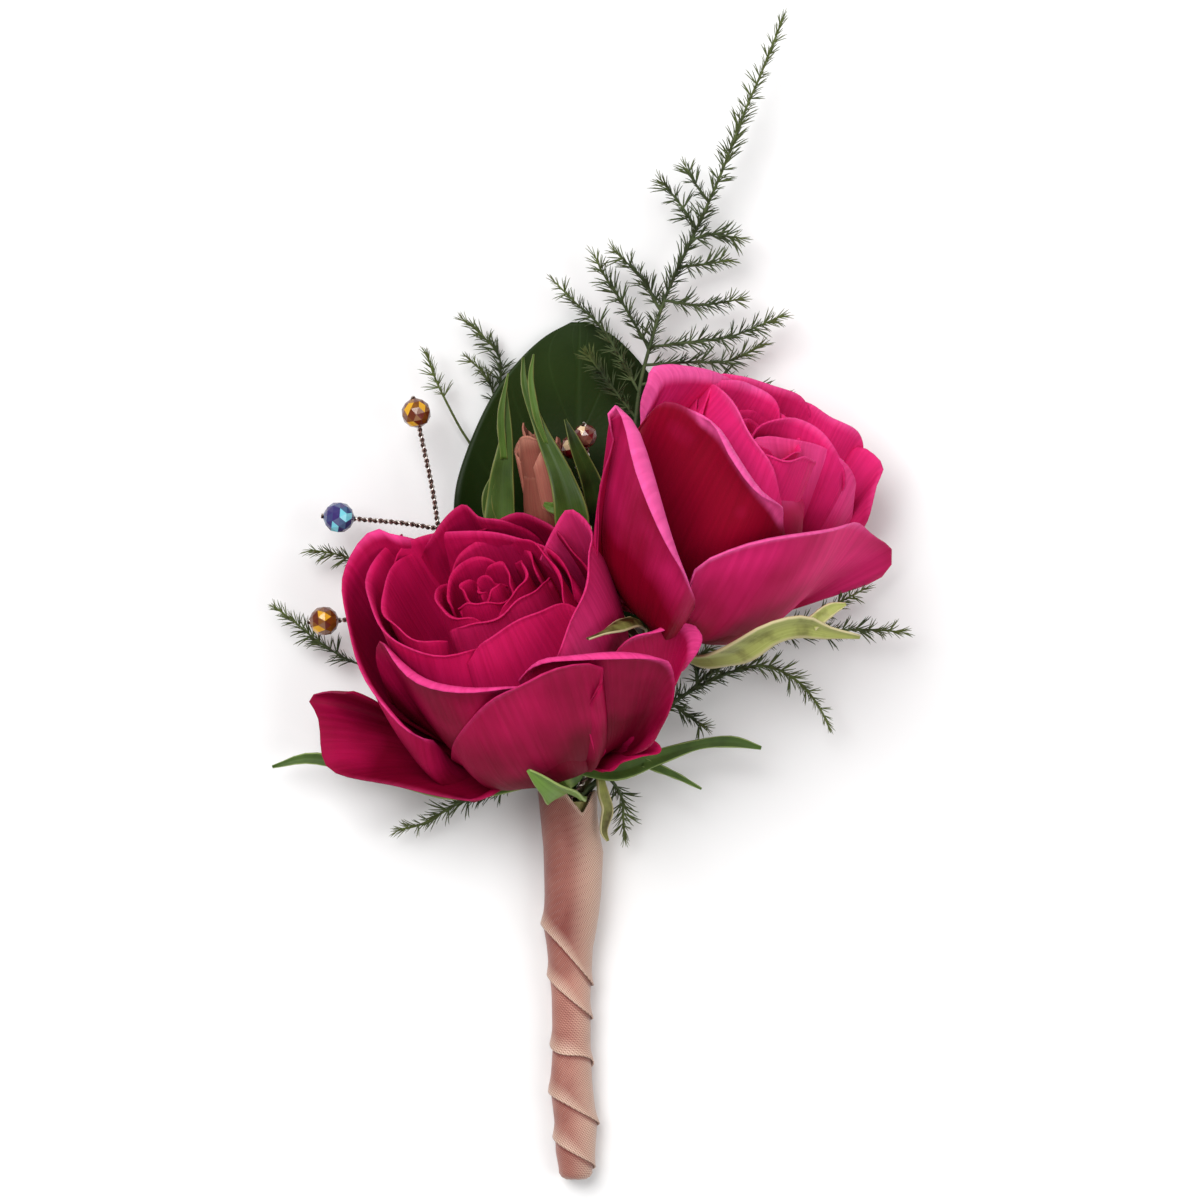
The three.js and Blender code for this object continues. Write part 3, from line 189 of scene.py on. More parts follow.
# a round or flattened tube through points, closed at both ends
def tubeGrid(points, radii, count, sides):
    line = throughPoints(points, count)[:, :3]
    tangents = np.gradient(line, axis=0)
    tangents /= np.linalg.norm(tangents, axis=1)[:, None]
    normal = unit(np.cross(tangents[0], [0.3, 0.2, 1]))
    angles = np.linspace(0, 2 * math.pi, sides, endpoint=False)
    rows = []
    for i, (centre, tangent) in enumerate(zip(line, tangents)):
        normal = unit(normal - tangent * np.dot(normal, tangent))
        across = np.cross(tangent, normal)
        radius = readAlong(radii, i / (count - 1))
        rows.append(centre + radius * (np.cos(angles)[:, None] * normal + np.sin(angles)[:, None] * across))
    return np.array(rows)


def addTube(shape, points, radii, count):
    grid = tubeGrid(points, radii, count, sides=12)
    shape.addGrid(grid, ring=True, size=(1, pathLength(points) / 4))
    shape.addCap(grid[0], flip=True)
    shape.addCap(grid[-1])


# geometry node and shader node helpers
def treeWith(name, inputs):
    tree = bpy.data.node_groups.new(name, "GeometryNodeTree")
    tree.interface.new_socket("Geometry", in_out="INPUT", socket_type="NodeSocketGeometry")
    for label, kind, value in inputs:
        socket = tree.interface.new_socket(label, in_out="INPUT", socket_type="NodeSocket" + kind)
        if value is not None:
            socket.default_value = value
    tree.interface.new_socket("Geometry", in_out="OUTPUT", socket_type="NodeSocketGeometry")
    return tree


def adder(tree):
    def add(kind, settings=None, **inputs):
        node = tree.nodes.new(kind)
        for key, value in (settings or {}).items():
            setattr(node, key, value)
        for key, value in inputs.items():
            place = int(key[1:]) if key[0] == "i" and key[1:].isdigit() else key.replace("_", " ")
            socket = node.inputs[place]
            if isinstance(value, bpy.types.NodeSocket):
                tree.links.new(value, socket)
            else:
                socket.default_value = value
        return node
    return add


def runTree(made, tree, values):
    modifier = made.modifiers.new(tree.name, "NODES")
    modifier.node_group = tree
    for item in tree.interface.items_tree:
        if item.in_out == "INPUT" and item.name in values:
            modifier[item.identifier] = values[item.name]
    return settle(made)


def groupWith(name, inputs, outputs):
    tree = bpy.data.node_groups.new(name, "ShaderNodeTree")
    for label, kind, value in inputs:
        socket = tree.interface.new_socket(label, in_out="INPUT", socket_type="NodeSocket" + kind)
        if value is not None:
            socket.default_value = value
    for label, kind in outputs:
        tree.interface.new_socket(label, in_out="OUTPUT", socket_type="NodeSocket" + kind)
    start = tree.nodes.new("NodeGroupInput")
    end = tree.nodes.new("NodeGroupOutput")
    return tree, start, end, adder(tree)


def sRgb(red, green, blue, alpha=1.0):
    def linear(c):
        c = c / 255
        return c / 12.92 if c <= 0.04045 else ((c + 0.055) / 1.055) ** 2.4
    return (linear(red), linear(green), linear(blue), alpha)


def newMaterial(name, **values):
    material = bpy.data.materials.new(name)
    material.use_nodes = True
    add = adder(material.node_tree)
    shader = material.node_tree.nodes["Principled BSDF"]
    for key, value in values.items():
        shader.inputs[key.replace("_", " ")].default_value = value
    return material, shader, add, material.node_tree.links


def placeGroup(add, tree, **inputs):
    return add("ShaderNodeGroup", {"node_tree": tree}, **inputs)


# these three give the new node's value or colour
def mathNode(add, operation, *values, clamp=False):
    sockets = {"i%d" % i: value for i, value in enumerate(values)}
    return add("ShaderNodeMath", {"operation": operation, "use_clamp": clamp}, **sockets).outputs[0]


def mixNode(add, share, first, second, mode="MIX"):
    return add("ShaderNodeMix", {"data_type": "RGBA", "blend_type": mode}, i0=share, i6=first, i7=second).outputs[2]


def rangeNode(add, value, source, result, smooth=False):
    return add("ShaderNodeMapRange", {"interpolation_type": "SMOOTHSTEP" if smooth else "LINEAR"}, Value=value,
               From_Min=source[0], From_Max=source[1], To_Min=result[0], To_Max=result[1]).outputs[0]


def addBump(add, links, shader, height, strength, distance):
    bump = add("ShaderNodeBump", Height=height, Strength=strength, Distance=distance * mm)
    links.new(bump.outputs["Normal"], shader.inputs["Normal"])


def paint(add, links, shader, tones, strength, distance):
    links.new(tones.outputs["Color"], shader.inputs["Base Color"])
    addBump(add, links, shader, tones.outputs["Height"], strength, distance)


# shared surface effects
# two tones in soft clouds, with a fine grain for the bump
def makeCloudTones():
    tree, start, end, add = groupWith(
        "cloudTones",
        [("Vector", "Vector", None), ("Scale", "Float", 200.0), ("Dark", "Color", None), ("Light", "Color", None),
         ("Contrast", "Float", 1.0), ("Grain", "Float", 1500.0)],
        [("Color", "Color"), ("Height", "Float")])
    g = start.outputs
    cloud = add("ShaderNodeTexNoise", Vector=g["Vector"], Scale=g["Scale"], Detail=4.0, Roughness=0.55)
    centred = mathNode(add, "SUBTRACT", cloud.outputs["Fac"], 0.5)
    spread = mathNode(add, "MULTIPLY_ADD", centred, g["Contrast"], 0.5, clamp=True)
    blend = mixNode(add, spread, g["Dark"], g["Light"])
    grain = add("ShaderNodeTexNoise", Vector=g["Vector"], Scale=g["Grain"], Detail=3.0)
    tree.links.new(blend, end.inputs["Color"])
    tree.links.new(grain.outputs["Fac"], end.inputs["Height"])
    return tree


# a petal read along its own UV: painted shade that deepens towards the root, its rolled lip paler, partly the petal's
# paler back and partly a painted highlight on the roll, a painted highlight on the upper half of petals with a high
# tone, and fine veins that fan from the root
def makePetalTones():
    tree, start, end, add = groupWith(
        "petalTones",
        [("UV", "Vector", None), ("Place", "Vector", None), ("Tone", "Float", 0.0), ("Deep", "Color", None),
         ("Body", "Color", None), ("Lip", "Color", None), ("Veins", "Float", 0.5), ("Lip Width", "Float", 0.2)],
        [("Color", "Color"), ("Height", "Float")])
    g = start.outputs
    split = add("ShaderNodeSeparateXYZ", Vector=g["UV"])
    # the rolled lip: partly the petal's paler back, partly a painted highlight on the roll
    lipStart = mathNode(add, "SUBTRACT", 1.0, g["Lip Width"])
    lipEnd = mathNode(add, "ADD", lipStart, 0.12)
    lip = rangeNode(add, split.outputs["Y"], (lipStart, lipEnd), (0.0, 0.9), smooth=True)
    # painted shade: the colour deepens towards the root, down in the cup
    root = rangeNode(add, split.outputs["Y"], (0.2, 0.72), (0.8, 0.0), smooth=True)
    clouds = add("ShaderNodeTexNoise", Vector=g["Place"], Scale=75.0, Detail=2.0)
    patches = mathNode(add, "MULTIPLY_ADD", clouds.outputs["Fac"], 1.6, -0.7)
    darker = mathNode(add, "ADD", patches, root)
    deep = mathNode(add, "SUBTRACT", darker, g["Tone"], clamp=True)
    body = mixNode(add, deep, g["Body"], g["Deep"])
    # painted highlight: petals with a tone above 0.5 are painted toward the lip colour on their upper half
    paintedLight = rangeNode(add, g["Tone"], (0.5, 1.3), (0.0, 0.7))
    upper = rangeNode(add, split.outputs["Y"], (0.5, 0.7), (0.0, 1.0), smooth=True)
    brightTop = mathNode(add, "MULTIPLY", paintedLight, upper)
    paler = mathNode(add, "MAXIMUM", lip, brightTop)
    lipped = mixNode(add, paler, body, g["Lip"])
    stretched = add("ShaderNodeMapping", Vector=g["UV"])
    stretched.inputs["Scale"].default_value = (60.0, 3.0, 1.0)
    veins = add("ShaderNodeTexNoise", Vector=stretched.outputs[0], Scale=1.0, Detail=2.0, Distortion=0.5)
    veined = rangeNode(add, veins.outputs["Fac"], (0.35, 0.7), (0.0, 1.0))
    depth = mathNode(add, "MULTIPLY", veined, g["Veins"])
    lined = mixNode(add, depth, lipped, (0.72, 0.5, 0.6, 1.0), "MULTIPLY")
    tree.links.new(lined, end.inputs["Color"])
    tree.links.new(veins.outputs["Fac"], end.inputs["Height"])
    return tree


# crossing threads on a UV map in millimetres
def makeWeave():
    tree, start, end, add = groupWith(
        "threadWeave",
        [("UV", "Vector", None), ("Threads", "Float", 3.0), ("Fill Threads", "Float", 2.0)],
        [("Height", "Float"), ("Mask", "Float")])
    g = start.outputs
    split = add("ShaderNodeSeparateXYZ", Vector=g["UV"])
    waves = []
    for axis, rate in (("X", "Threads"), ("Y", "Fill Threads")):
        scaled = mathNode(add, "MULTIPLY", split.outputs[axis], g[rate])
        turned = mathNode(add, "MULTIPLY", scaled, 2 * math.pi)
        waves.append(mathNode(add, "SINE", turned))
    both = mathNode(add, "MULTIPLY", waves[0], waves[1])
    ribs = mathNode(add, "MULTIPLY_ADD", waves[1], 0.6, both)
    mask = rangeNode(add, ribs, (-1.2, 1.2), (0.0, 1.0))
    tree.links.new(ribs, end.inputs["Height"])
    tree.links.new(mask, end.inputs["Mask"])
    return tree


# midrib and curved side veins on a leaf's UV map
def makeLeafVeins():
    tree, start, end, add = groupWith(
        "leafVeins", [("UV", "Vector", None), ("Pairs", "Float", 6.0), ("Slant", "Float", 0.34)],
        [("Mask", "Float"), ("Height", "Float")])
    g = start.outputs
    split = add("ShaderNodeSeparateXYZ", Vector=g["UV"])
    centred = mathNode(add, "MULTIPLY_ADD", split.outputs["X"], 2.0, -1.0)
    out = mathNode(add, "ABSOLUTE", centred)
    bent = mathNode(add, "POWER", out, 0.75)
    back = mathNode(add, "MULTIPLY", bent, g["Slant"])
    place = mathNode(add, "SUBTRACT", split.outputs["Y"], back)
    counted = mathNode(add, "MULTIPLY", place, g["Pairs"])
    part = mathNode(add, "PINGPONG", counted, 0.5)
    side = rangeNode(add, part, (0.0, 0.06), (1.0, 0.0), smooth=True)
    middle = rangeNode(add, out, (0.0, 0.05), (1.0, 0.0), smooth=True)
    faded = rangeNode(add, out, (0.6, 1.0), (0.6, 0.0))
    sides = mathNode(add, "MULTIPLY", side, faded)
    mask = mathNode(add, "MAXIMUM", sides, middle)
    tree.links.new(mask, end.inputs["Mask"])
    tree.links.new(mask, end.inputs["Height"])
    return tree


# a green blade or stem: clouds of two tones that the part's own tone shifts, and a paler edge
def makeGreenTones():
    tree, start, end, add = groupWith(
        "greenTones",
        [("UV", "Vector", None), ("Place", "Vector", None), ("Tone", "Float", 0.0), ("Scale", "Float", 150.0),
         ("Contrast", "Float", 1.5), ("Dark", "Color", None), ("Light", "Color", None), ("Edge", "Color", None),
         ("Edge Width", "Float", 0.06)],
        [("Color", "Color"), ("Height", "Float")])
    g = start.outputs
    split = add("ShaderNodeSeparateXYZ", Vector=g["UV"])
    across = mathNode(add, "PINGPONG", split.outputs["X"], 0.5)
    edge = rangeNode(add, across, (0.0, g["Edge Width"]), (1.0, 0.0), smooth=True)
    clouds = add("ShaderNodeTexNoise", Vector=g["Place"], Scale=g["Scale"], Detail=4.0, Roughness=0.55)
    centred = mathNode(add, "SUBTRACT", clouds.outputs["Fac"], 0.5)
    spread = mathNode(add, "MULTIPLY_ADD", centred, g["Contrast"], 0.4)
    toned = mathNode(add, "ADD", spread, g["Tone"], clamp=True)
    body = mixNode(add, toned, g["Dark"], g["Light"])
    edged = mixNode(add, edge, body, g["Edge"])
    streaks = add("ShaderNodeMapping", Vector=g["UV"])
    streaks.inputs["Scale"].default_value = (26.0, 2.0, 1.0)
    ribs = add("ShaderNodeTexNoise", Vector=streaks.outputs[0], Scale=1.0, Detail=2.0)
    shade = rangeNode(add, ribs.outputs["Fac"], (0.35, 0.65), (0.35, 0.0))
    ribbed = mixNode(add, shade, edged, (0.45, 0.5, 0.3, 1.0), "MULTIPLY")
    tree.links.new(ribbed, end.inputs["Color"])
    tree.links.new(ribs.outputs["Fac"], end.inputs["Height"])
    return tree


cloudTones = makeCloudTones()
greenTones = makeGreenTones()
petalTones = makePetalTones()
threadWeave = makeWeave()
leafVeins = makeLeafVeins()


def petalMaterial(name, look):
    material, shader, add, links = newMaterial(
        name, Roughness=0.6, Specular_IOR_Level=0.07, Sheen_Weight=look["sheen"], Sheen_Roughness=0.4,
        Sheen_Tint=look["lip"], Subsurface_Weight=0.05, Subsurface_Radius=(0.9, 0.1, 0.2), Subsurface_Scale=0.0008)
    tone = add("ShaderNodeAttribute", {"attribute_name": "tone"})
    places = add("ShaderNodeTexCoord")
    tones = placeGroup(add, petalTones, UV=places.outputs["UV"], Place=places.outputs["Object"],
                       Tone=tone.outputs["Fac"], Deep=look["deep"], Body=look["body"], Lip=look["lip"],
                       Veins=look["veins"], Lip_Width=look["lipWidth"])
    paint(add, links, shader, tones, 0.55, 0.14)
    return material


def greenMaterial(name, look):
    material, shader, add, links = newMaterial(name, Roughness=look["roughness"], Specular_IOR_Level=0.25)
    places = add("ShaderNodeTexCoord")
    tone = add("ShaderNodeAttribute", {"attribute_name": "tone"})
    tones = placeGroup(add, greenTones, UV=places.outputs["UV"], Place=places.outputs["Object"],
                       Tone=tone.outputs["Fac"], Scale=look["patches"], Contrast=look["contrast"],
                       Dark=look["dark"], Light=look["light"], Edge=look["edge"], Edge_Width=look["edgeWidth"])
    paint(add, links, shader, tones, 0.3, 0.1)
    return material


# the roses
def flowerFrame(base, rise, turn):
    tilt, lean = math.radians(rise), math.radians(turn)
    plan = np.array([math.sin(lean), math.cos(lean), 0])
    axis = plan * math.cos(tilt) + np.array([0, 0, math.sin(tilt)])
    front = -plan * math.sin(tilt) + np.array([0, 0, math.cos(tilt)])
    return {"base": np.array(base, float), "plan": plan, "axis": axis, "front": front,
            "side": np.cross(axis, front), "tilt": tilt}


def inFlower(flower, radius, angle, height):
    return (flower["base"] + radius * math.cos(angle) * flower["front"]
            + radius * math.sin(angle) * flower["side"] + height * flower["axis"])


# what every petal has unless it says otherwise
petalForm = {
    "low": 0.62, "roll": 1.8, "ruffle": 0.36,     # height of the shoulder, radius of the rolled lip, waves
    "wallShare": 0.76,                            # of a petal's own V, the rest is its rolled lip
    "fullHeight": 16,                             # a lip that lies lower has a narrower foot
    "leastRoll": 0.15,                            # every lip is rolled at least this much
    "broadRoll": 2.6,                             # a lip that is rolled this far shows all of its own colour
}


# the cup's section through each lip point, from the flower's base out to the rolled lip
def petalGrid(flower, petal, detail):
    lip = []
    for x, y, height, rolled in petal["lip"]:
        offset = np.array([x, y, 0]) - flower["base"] * [1, 1, 0]
        up = offset @ flower["plan"]
        front = (height * math.cos(flower["tilt"]) - up) / math.sin(flower["tilt"])
        lip.append([front, offset @ flower["side"], height, rolled])
    rows, columns, curlRows = detail["rows"], detail["columns"], detail["curlRows"]
    petal = {"start": detail["start"], "phase": 0, **petalForm, **petal}
    belly, low, roll, wallShare = petal["belly"], petal["low"], petal["roll"], petal["wallShare"]
    t = np.linspace(petal["start"], 1, rows)[:, None]
    grid = np.zeros((rows + curlRows, columns, 3))
    places = np.zeros((rows + curlRows, columns, 2))
    places[:, :, 0] = np.linspace(0, 1, columns)
    for j, (front, side, height, rolled) in enumerate(throughPoints(lip, columns)):
        radius, angle = math.hypot(front, side), math.atan2(side, front)
        full, rolled = min(1, height / petal["fullHeight"]), max(rolled, petal["leastRoll"])
        inner = radius < belly
        waist = (belly + radius) / 2 * (0.5 + 0.5 * full) if inner else belly + (radius - belly) * 0.45
        rim, shoulder = np.array([radius, height]), np.array([waist, height * low])
        along = unit(rim - shoulder)
        outward = np.array([along[1], -along[0]])
        over = roll * math.sin(min(rolled / roll, math.pi / 2)) * along
        a, b, c, d = np.array([1, 0]), np.array([belly * full * 0.95, 0]), shoulder - over, rim - over
        wall = (1 - t) ** 3 * a + 3 * t * (1 - t) ** 2 * b + 3 * t ** 2 * (1 - t) * c + t ** 3 * d
        bend = (rolled / roll * np.arange(1, curlRows + 1) / curlRows)[:, None]
        curl = d + roll * np.sin(bend) * along + roll * (1 - np.cos(bend)) * outward
        for i, (r, h) in enumerate(np.vstack([wall, curl])):
            grid[i, j] = inFlower(flower, r, angle, h)
        places[:rows, j, 1] = t[:, 0] * wallShare
        broad = min(rolled / petal["broadRoll"], 1) ** 2
        places[rows:, j, 1] = wallShare + (1 - wallShare) * broad * np.arange(1, curlRows + 1) / curlRows
    return ruffled(grid, petal["ruffle"], petal["phase"]), places


# slow waves that grow towards the lip
def ruffled(grid, amount, phase):
    growth = np.linspace(0, 1, grid.shape[0])[:, None] ** 3
    across = np.linspace(-1, 1, grid.shape[1])[None, :]
    normals = np.cross(np.gradient(grid, axis=0), np.gradient(grid, axis=1))
    normals /= np.linalg.norm(normals, axis=-1, keepdims=True) + 1e-9
    wave = np.sin(across * 6 + phase) + 0.6 * np.sin(across * 11 + 2.1 * phase)
    return grid + normals * (amount * growth * wave)[..., None]


# the spiral of small petals in the middle, each a golden turn on from the last
def heartPetals(flower, heart):
    petals = []
    for i in range(heart["count"]):
        share = i / (heart["count"] - 1)
        reach = heart["radius"][0] + (heart["radius"][1] - heart["radius"][0]) * share ** 0.9
        top = heart["height"][0] + (heart["height"][1] - heart["height"][0]) * share
        lip = []
        for side in np.linspace(-1, 1, 7):
            angle = math.radians(heart["start"] + goldenTurn * i + heart["half"] * side)
            height = top - 3 * abs(side) ** 2.5
            x, y, z = inFlower(flower, reach * (1 + 0.03 * side), angle, height)
            lip.append([x, y, height, (1 - 0.6 * share) * (1 - abs(side) ** 3)])
        petals.append({"belly": reach * 1.25, "roll": 1.0, "lip": lip, "start": 0.3, "ruffle": 0.35, "phase": i * 1.7})
    return petals


# a profile of radius and height, smoothed and turned about the flower's axis
def turnedGrid(flower, profile, rings, sides):
    smooth = throughPoints([[radius, height, 0] for radius, height in profile], rings)
    return np.array([[inFlower(flower, max(radius, 0.02), angle, height)
                      for angle in np.linspace(0, 2 * math.pi, sides, endpoint=False)]
                     for radius, height in smooth[:, :2]])


def growBloom(name, flower, rose, detail):
    shape = Shape()
    front, side = rose["heart"].get("shift", [0, 0])
    middle = {**flower, "base": flower["base"] + front * flower["front"] + side * flower["side"]}
    grown = [(petal, flower) for petal in rose["petals"] + rose["rims"]]
    grown += [(petal, middle) for petal in heartPetals(middle, rose["heart"])]
    draw = random.Random(rose["seed"])
    for i, (petal, owner) in enumerate(grown):
        grid, places = petalGrid(owner, {"phase": i * 1.3, **petal}, detail)
        # each petal's tone is a small random shift plus painted light and shade: darker towards the heart, lifted by
        # the rose's innerTone on the rims and the heart, and moved by the petal's own tone
        deep = max(0, i - len(rose["petals"]) - len(rose["rims"])) / max(rose["heart"]["count"], 1)
        inside = rose["innerTone"] if i >= len(rose["petals"]) else 0
        tone = draw.uniform(-0.08, 0.08) - 0.45 * deep + inside + petal.get("tone", 0)
        thin = 1 - 0.75 * np.linspace(0, 1, grid.shape[0]) ** 4
        shape.addGrid(grid, tone, thin, uv=places)
    made = thicken(shape.toObject(name), rose["thickness"])
    # the turned core gets a low tone: painted shade in the heart
    core = Shape()
    core.addGrid(turnedGrid(flower, rose["core"], 16, 24), -0.5, ring=True)
    return joinPieces(name, [made, core.toObject(name + "_core")])


openRose = {
    "base": [-4.4, -22.1, 11], "rise": 40, "turn": -23, "thickness": 0.42, "seed": 4,
    "heart": {"count": 11, "radius": [8.6, 1], "height": [31, 29.6], "start": 10, "half": 66,
              "shift": [-4.2, 0.2]},
    "innerTone": 0.55,
    "core": [[0, 0.6], [6, 1.3], [9.6, 3.8], [11.4, 8], [11.4, 14], [9.6, 19], [6, 21], [0, 21.5]],
    # a petal's tone is painted light and shade: above 0 lighter, below 0 deeper
    "petals": [
        {"belly": 15, "low": 0.8, "tone": -0.65, "lip": [  # flared, at the lower left
            [-32.8, -13.4, 21, 0.5], [-37, -13.6, 17, 1], [-39.1, -14.7, 15, 0.6], [-37.6, -17.6, 14.5, 0.3],
            [-35.9, -24.4, 12, 0.6], [-26.1, -26.7, 9, 1], [-17.7, -28.3, 6, 1], [-13.6, -28.1, 5, 1],
            [-10.6, -26.2, 3.4, 0.5]]},
        {"belly": 20, "tone": -0.1, "lip": [  # left
            [-20.5, 6.9, 28, 0.5], [-26.1, 7.8, 33, 2], [-28.9, 8.8, 34, 2], [-31.7, 6.7, 33.5, 1.5],
            [-33.8, 1.3, 32, 1], [-32.8, -5.7, 28, 1], [-30, -12, 24, 1.4], [-25.4, -17.4, 19.5, 1.6],
            [-21.2, -20.4, 14, 1.2], [-19.5, -22.1, 9, 0.5]]},
        {"belly": 19, "tone": -0.2, "lip": [  # peak at the back
            [-23.3, 4.8, 28, 0], [-21.1, 8.3, 33, 1], [-17.4, 12.2, 35, 1], [-14.9, 10.5, 34.5, 1],
            [-11.4, 10.1, 34, 1], [-6.5, 7.6, 29, 0]]},
        {"belly": 18, "tone": -0.4, "lip": [  # back right
            [-14.9, 9, 32, 0], [-12.1, 10.2, 33, 1], [-9.3, 10.9, 33.5, 1], [-5.4, 9.4, 33, 1],
            [-2, 6.4, 31, 0.8], [0.2, 2.7, 28, 0.5], [1.2, -3.6, 22, 0]]},
        {"belly": 17.6, "tone": 1.1, "lip": [  # tongue that comes forward on the right
            [-6.5, 4.8, 30, 0], [-4.3, 9, 33, 0.5], [-2.7, 11.6, 35, 0.6], [-0.5, 10.1, 34.5, 1],
            [0.8, 7.6, 33.5, 1], [0.3, 4.4, 33.5, 1.2], [-1.2, -0.5, 32.5, 1.2], [-3, -5.4, 31.5, 1.2],
            [-3.9, -9, 28, 0.8]]},
        {"belly": 17, "roll": 1.6, "lip": [  # curled corner
            [2.7, -10.4, 21, 1], [4.3, -7.6, 23, 1], [6.8, -5.3, 23.5, 2], [10.6, -3.9, 22.5, 3],
            [13, -4.4, 21, 3.4], [14.2, -5.9, 19, 2.8], [14, -8.5, 16, 1.8], [12.4, -10.6, 12, 1]]},
        {"belly": 15.5, "tone": -0.6, "lip": [  # front right
            [-9.3, -11.8, 25, 1.5], [-6.8, -8.6, 29.5, 3], [-3, -7.6, 30.5, 3.4], [2.6, -7.6, 29.5, 3.6],
            [8.2, -8.1, 27, 3], [10.9, -9.4, 24, 1.6], [12, -13.2, 19, 0.8], [11.3, -16.5, 15, 0.8],
            [8.6, -20.7, 9, 0.8]]},
        {"belly": 12, "low": 0.8, "lip": [  # low tip
            [1.9, -24.6, 3, 0.3], [6.8, -22.8, 5, 0.3], [9.9, -21.8, 6, 0.3], [9.6, -20.4, 7, 0.3],
            [7.5, -18.3, 9, 0.3]]},
        {"belly": 15.5, "tone": -0.5, "lip": [  # front left
            [-26.8, -15.5, 14, 0], [-28.9, -10.4, 24, 0.5], [-28.5, -6.6, 29.5, 0.8], [-25.4, -8.8, 30, 2.2],
            [-21.6, -10.8, 29.7, 3], [-14.9, -12.3, 27.5, 3], [-7.9, -12.6, 25, 2], [-3.7, -14.8, 17, 0]]},
        {"belly": 15, "tone": -0.3, "lip": [  # front
            [-18.8, -22.8, 11, 0.3], [-18.3, -20.7, 16, 0.8], [-16.3, -17.9, 20.5, 1], [-12.8, -14.4, 25.5, 1.2],
            [-9, -11.8, 29, 1.2], [-5.4, -9.9, 30.5, 1.2], [-1.5, -9.4, 29.5, 1], [2, -10.2, 27, 0.8],
            [1.2, -13.2, 23, 0.5], [-1.2, -18.3, 14, 0.5], [-2.8, -23.5, 6, 0.3]]},
    ],
    "rims": [
        {"belly": 15, "lip": [
            [0.5, -7.8, 22, 0], [-0.2, -3.6, 27, 0.6], [-3, -1.7, 30, 0.8], [-7.2, -2.4, 31.5, 1],
            [-11, -4.3, 31.5, 1], [-13.8, -6.6, 31, 1], [-16.3, -9.5, 28, 0.5]]},
        {"belly": 16, "lip": [
            [-26.1, 8.3, 30, 0.5], [-28.9, 5.5, 31.5, 1], [-30.2, 2, 32, 1.2], [-29.5, -2, 32, 1.2],
            [-27.5, -5.3, 31.5, 1.2], [-24.4, -7.3, 31, 1.2], [-19.8, -8, 30.5, 1], [-14.2, -7.3, 29, 0.6],
            [-9.3, -7.8, 25, 0]]},
        {"belly": 16, "lip": [
            [-28.2, 0.6, 29, 0], [-26.1, 6.2, 31, 0.6], [-21.9, 8.1, 32, 1.2], [-16.3, 8.4, 32.5, 1.2],
            [-10.7, 8, 32, 1.2], [-5.8, 6.2, 31, 1], [-2.6, 2.7, 29, 0.5], [-1.6, -0.8, 26, 0]]},
        {"belly": 14, "lip": [
            [-23.3, 6.2, 29, 0.2], [-26.8, 4.1, 31, 0.8], [-28.1, -0.1, 31, 1], [-26.7, -3.9, 31, 1],
            [-23.3, -6.4, 30.5, 1], [-19.1, -6.4, 29, 0.4]]},
        {"belly": 14, "lip": [
            [-1.6, -6.4, 26, 0], [-2.9, -0.8, 29, 0.6], [-4.8, 3.9, 31.5, 0.6], [-6.8, 6.9, 32.5, 0.6],
            [-9.3, 7.6, 32, 0.6], [-12.1, 6.9, 30, 0]]},
    ],
    # deep: the deeper red of the random patches and of the painted shade; lip: the roll's paler back with a painted
    # highlight
    "look": {"deep": sRgb(112, 0, 34), "body": sRgb(194, 18, 84), "lip": sRgb(238, 68, 144), "veins": 0.65,
             "lipWidth": 0.24, "sheen": 0.0},
}
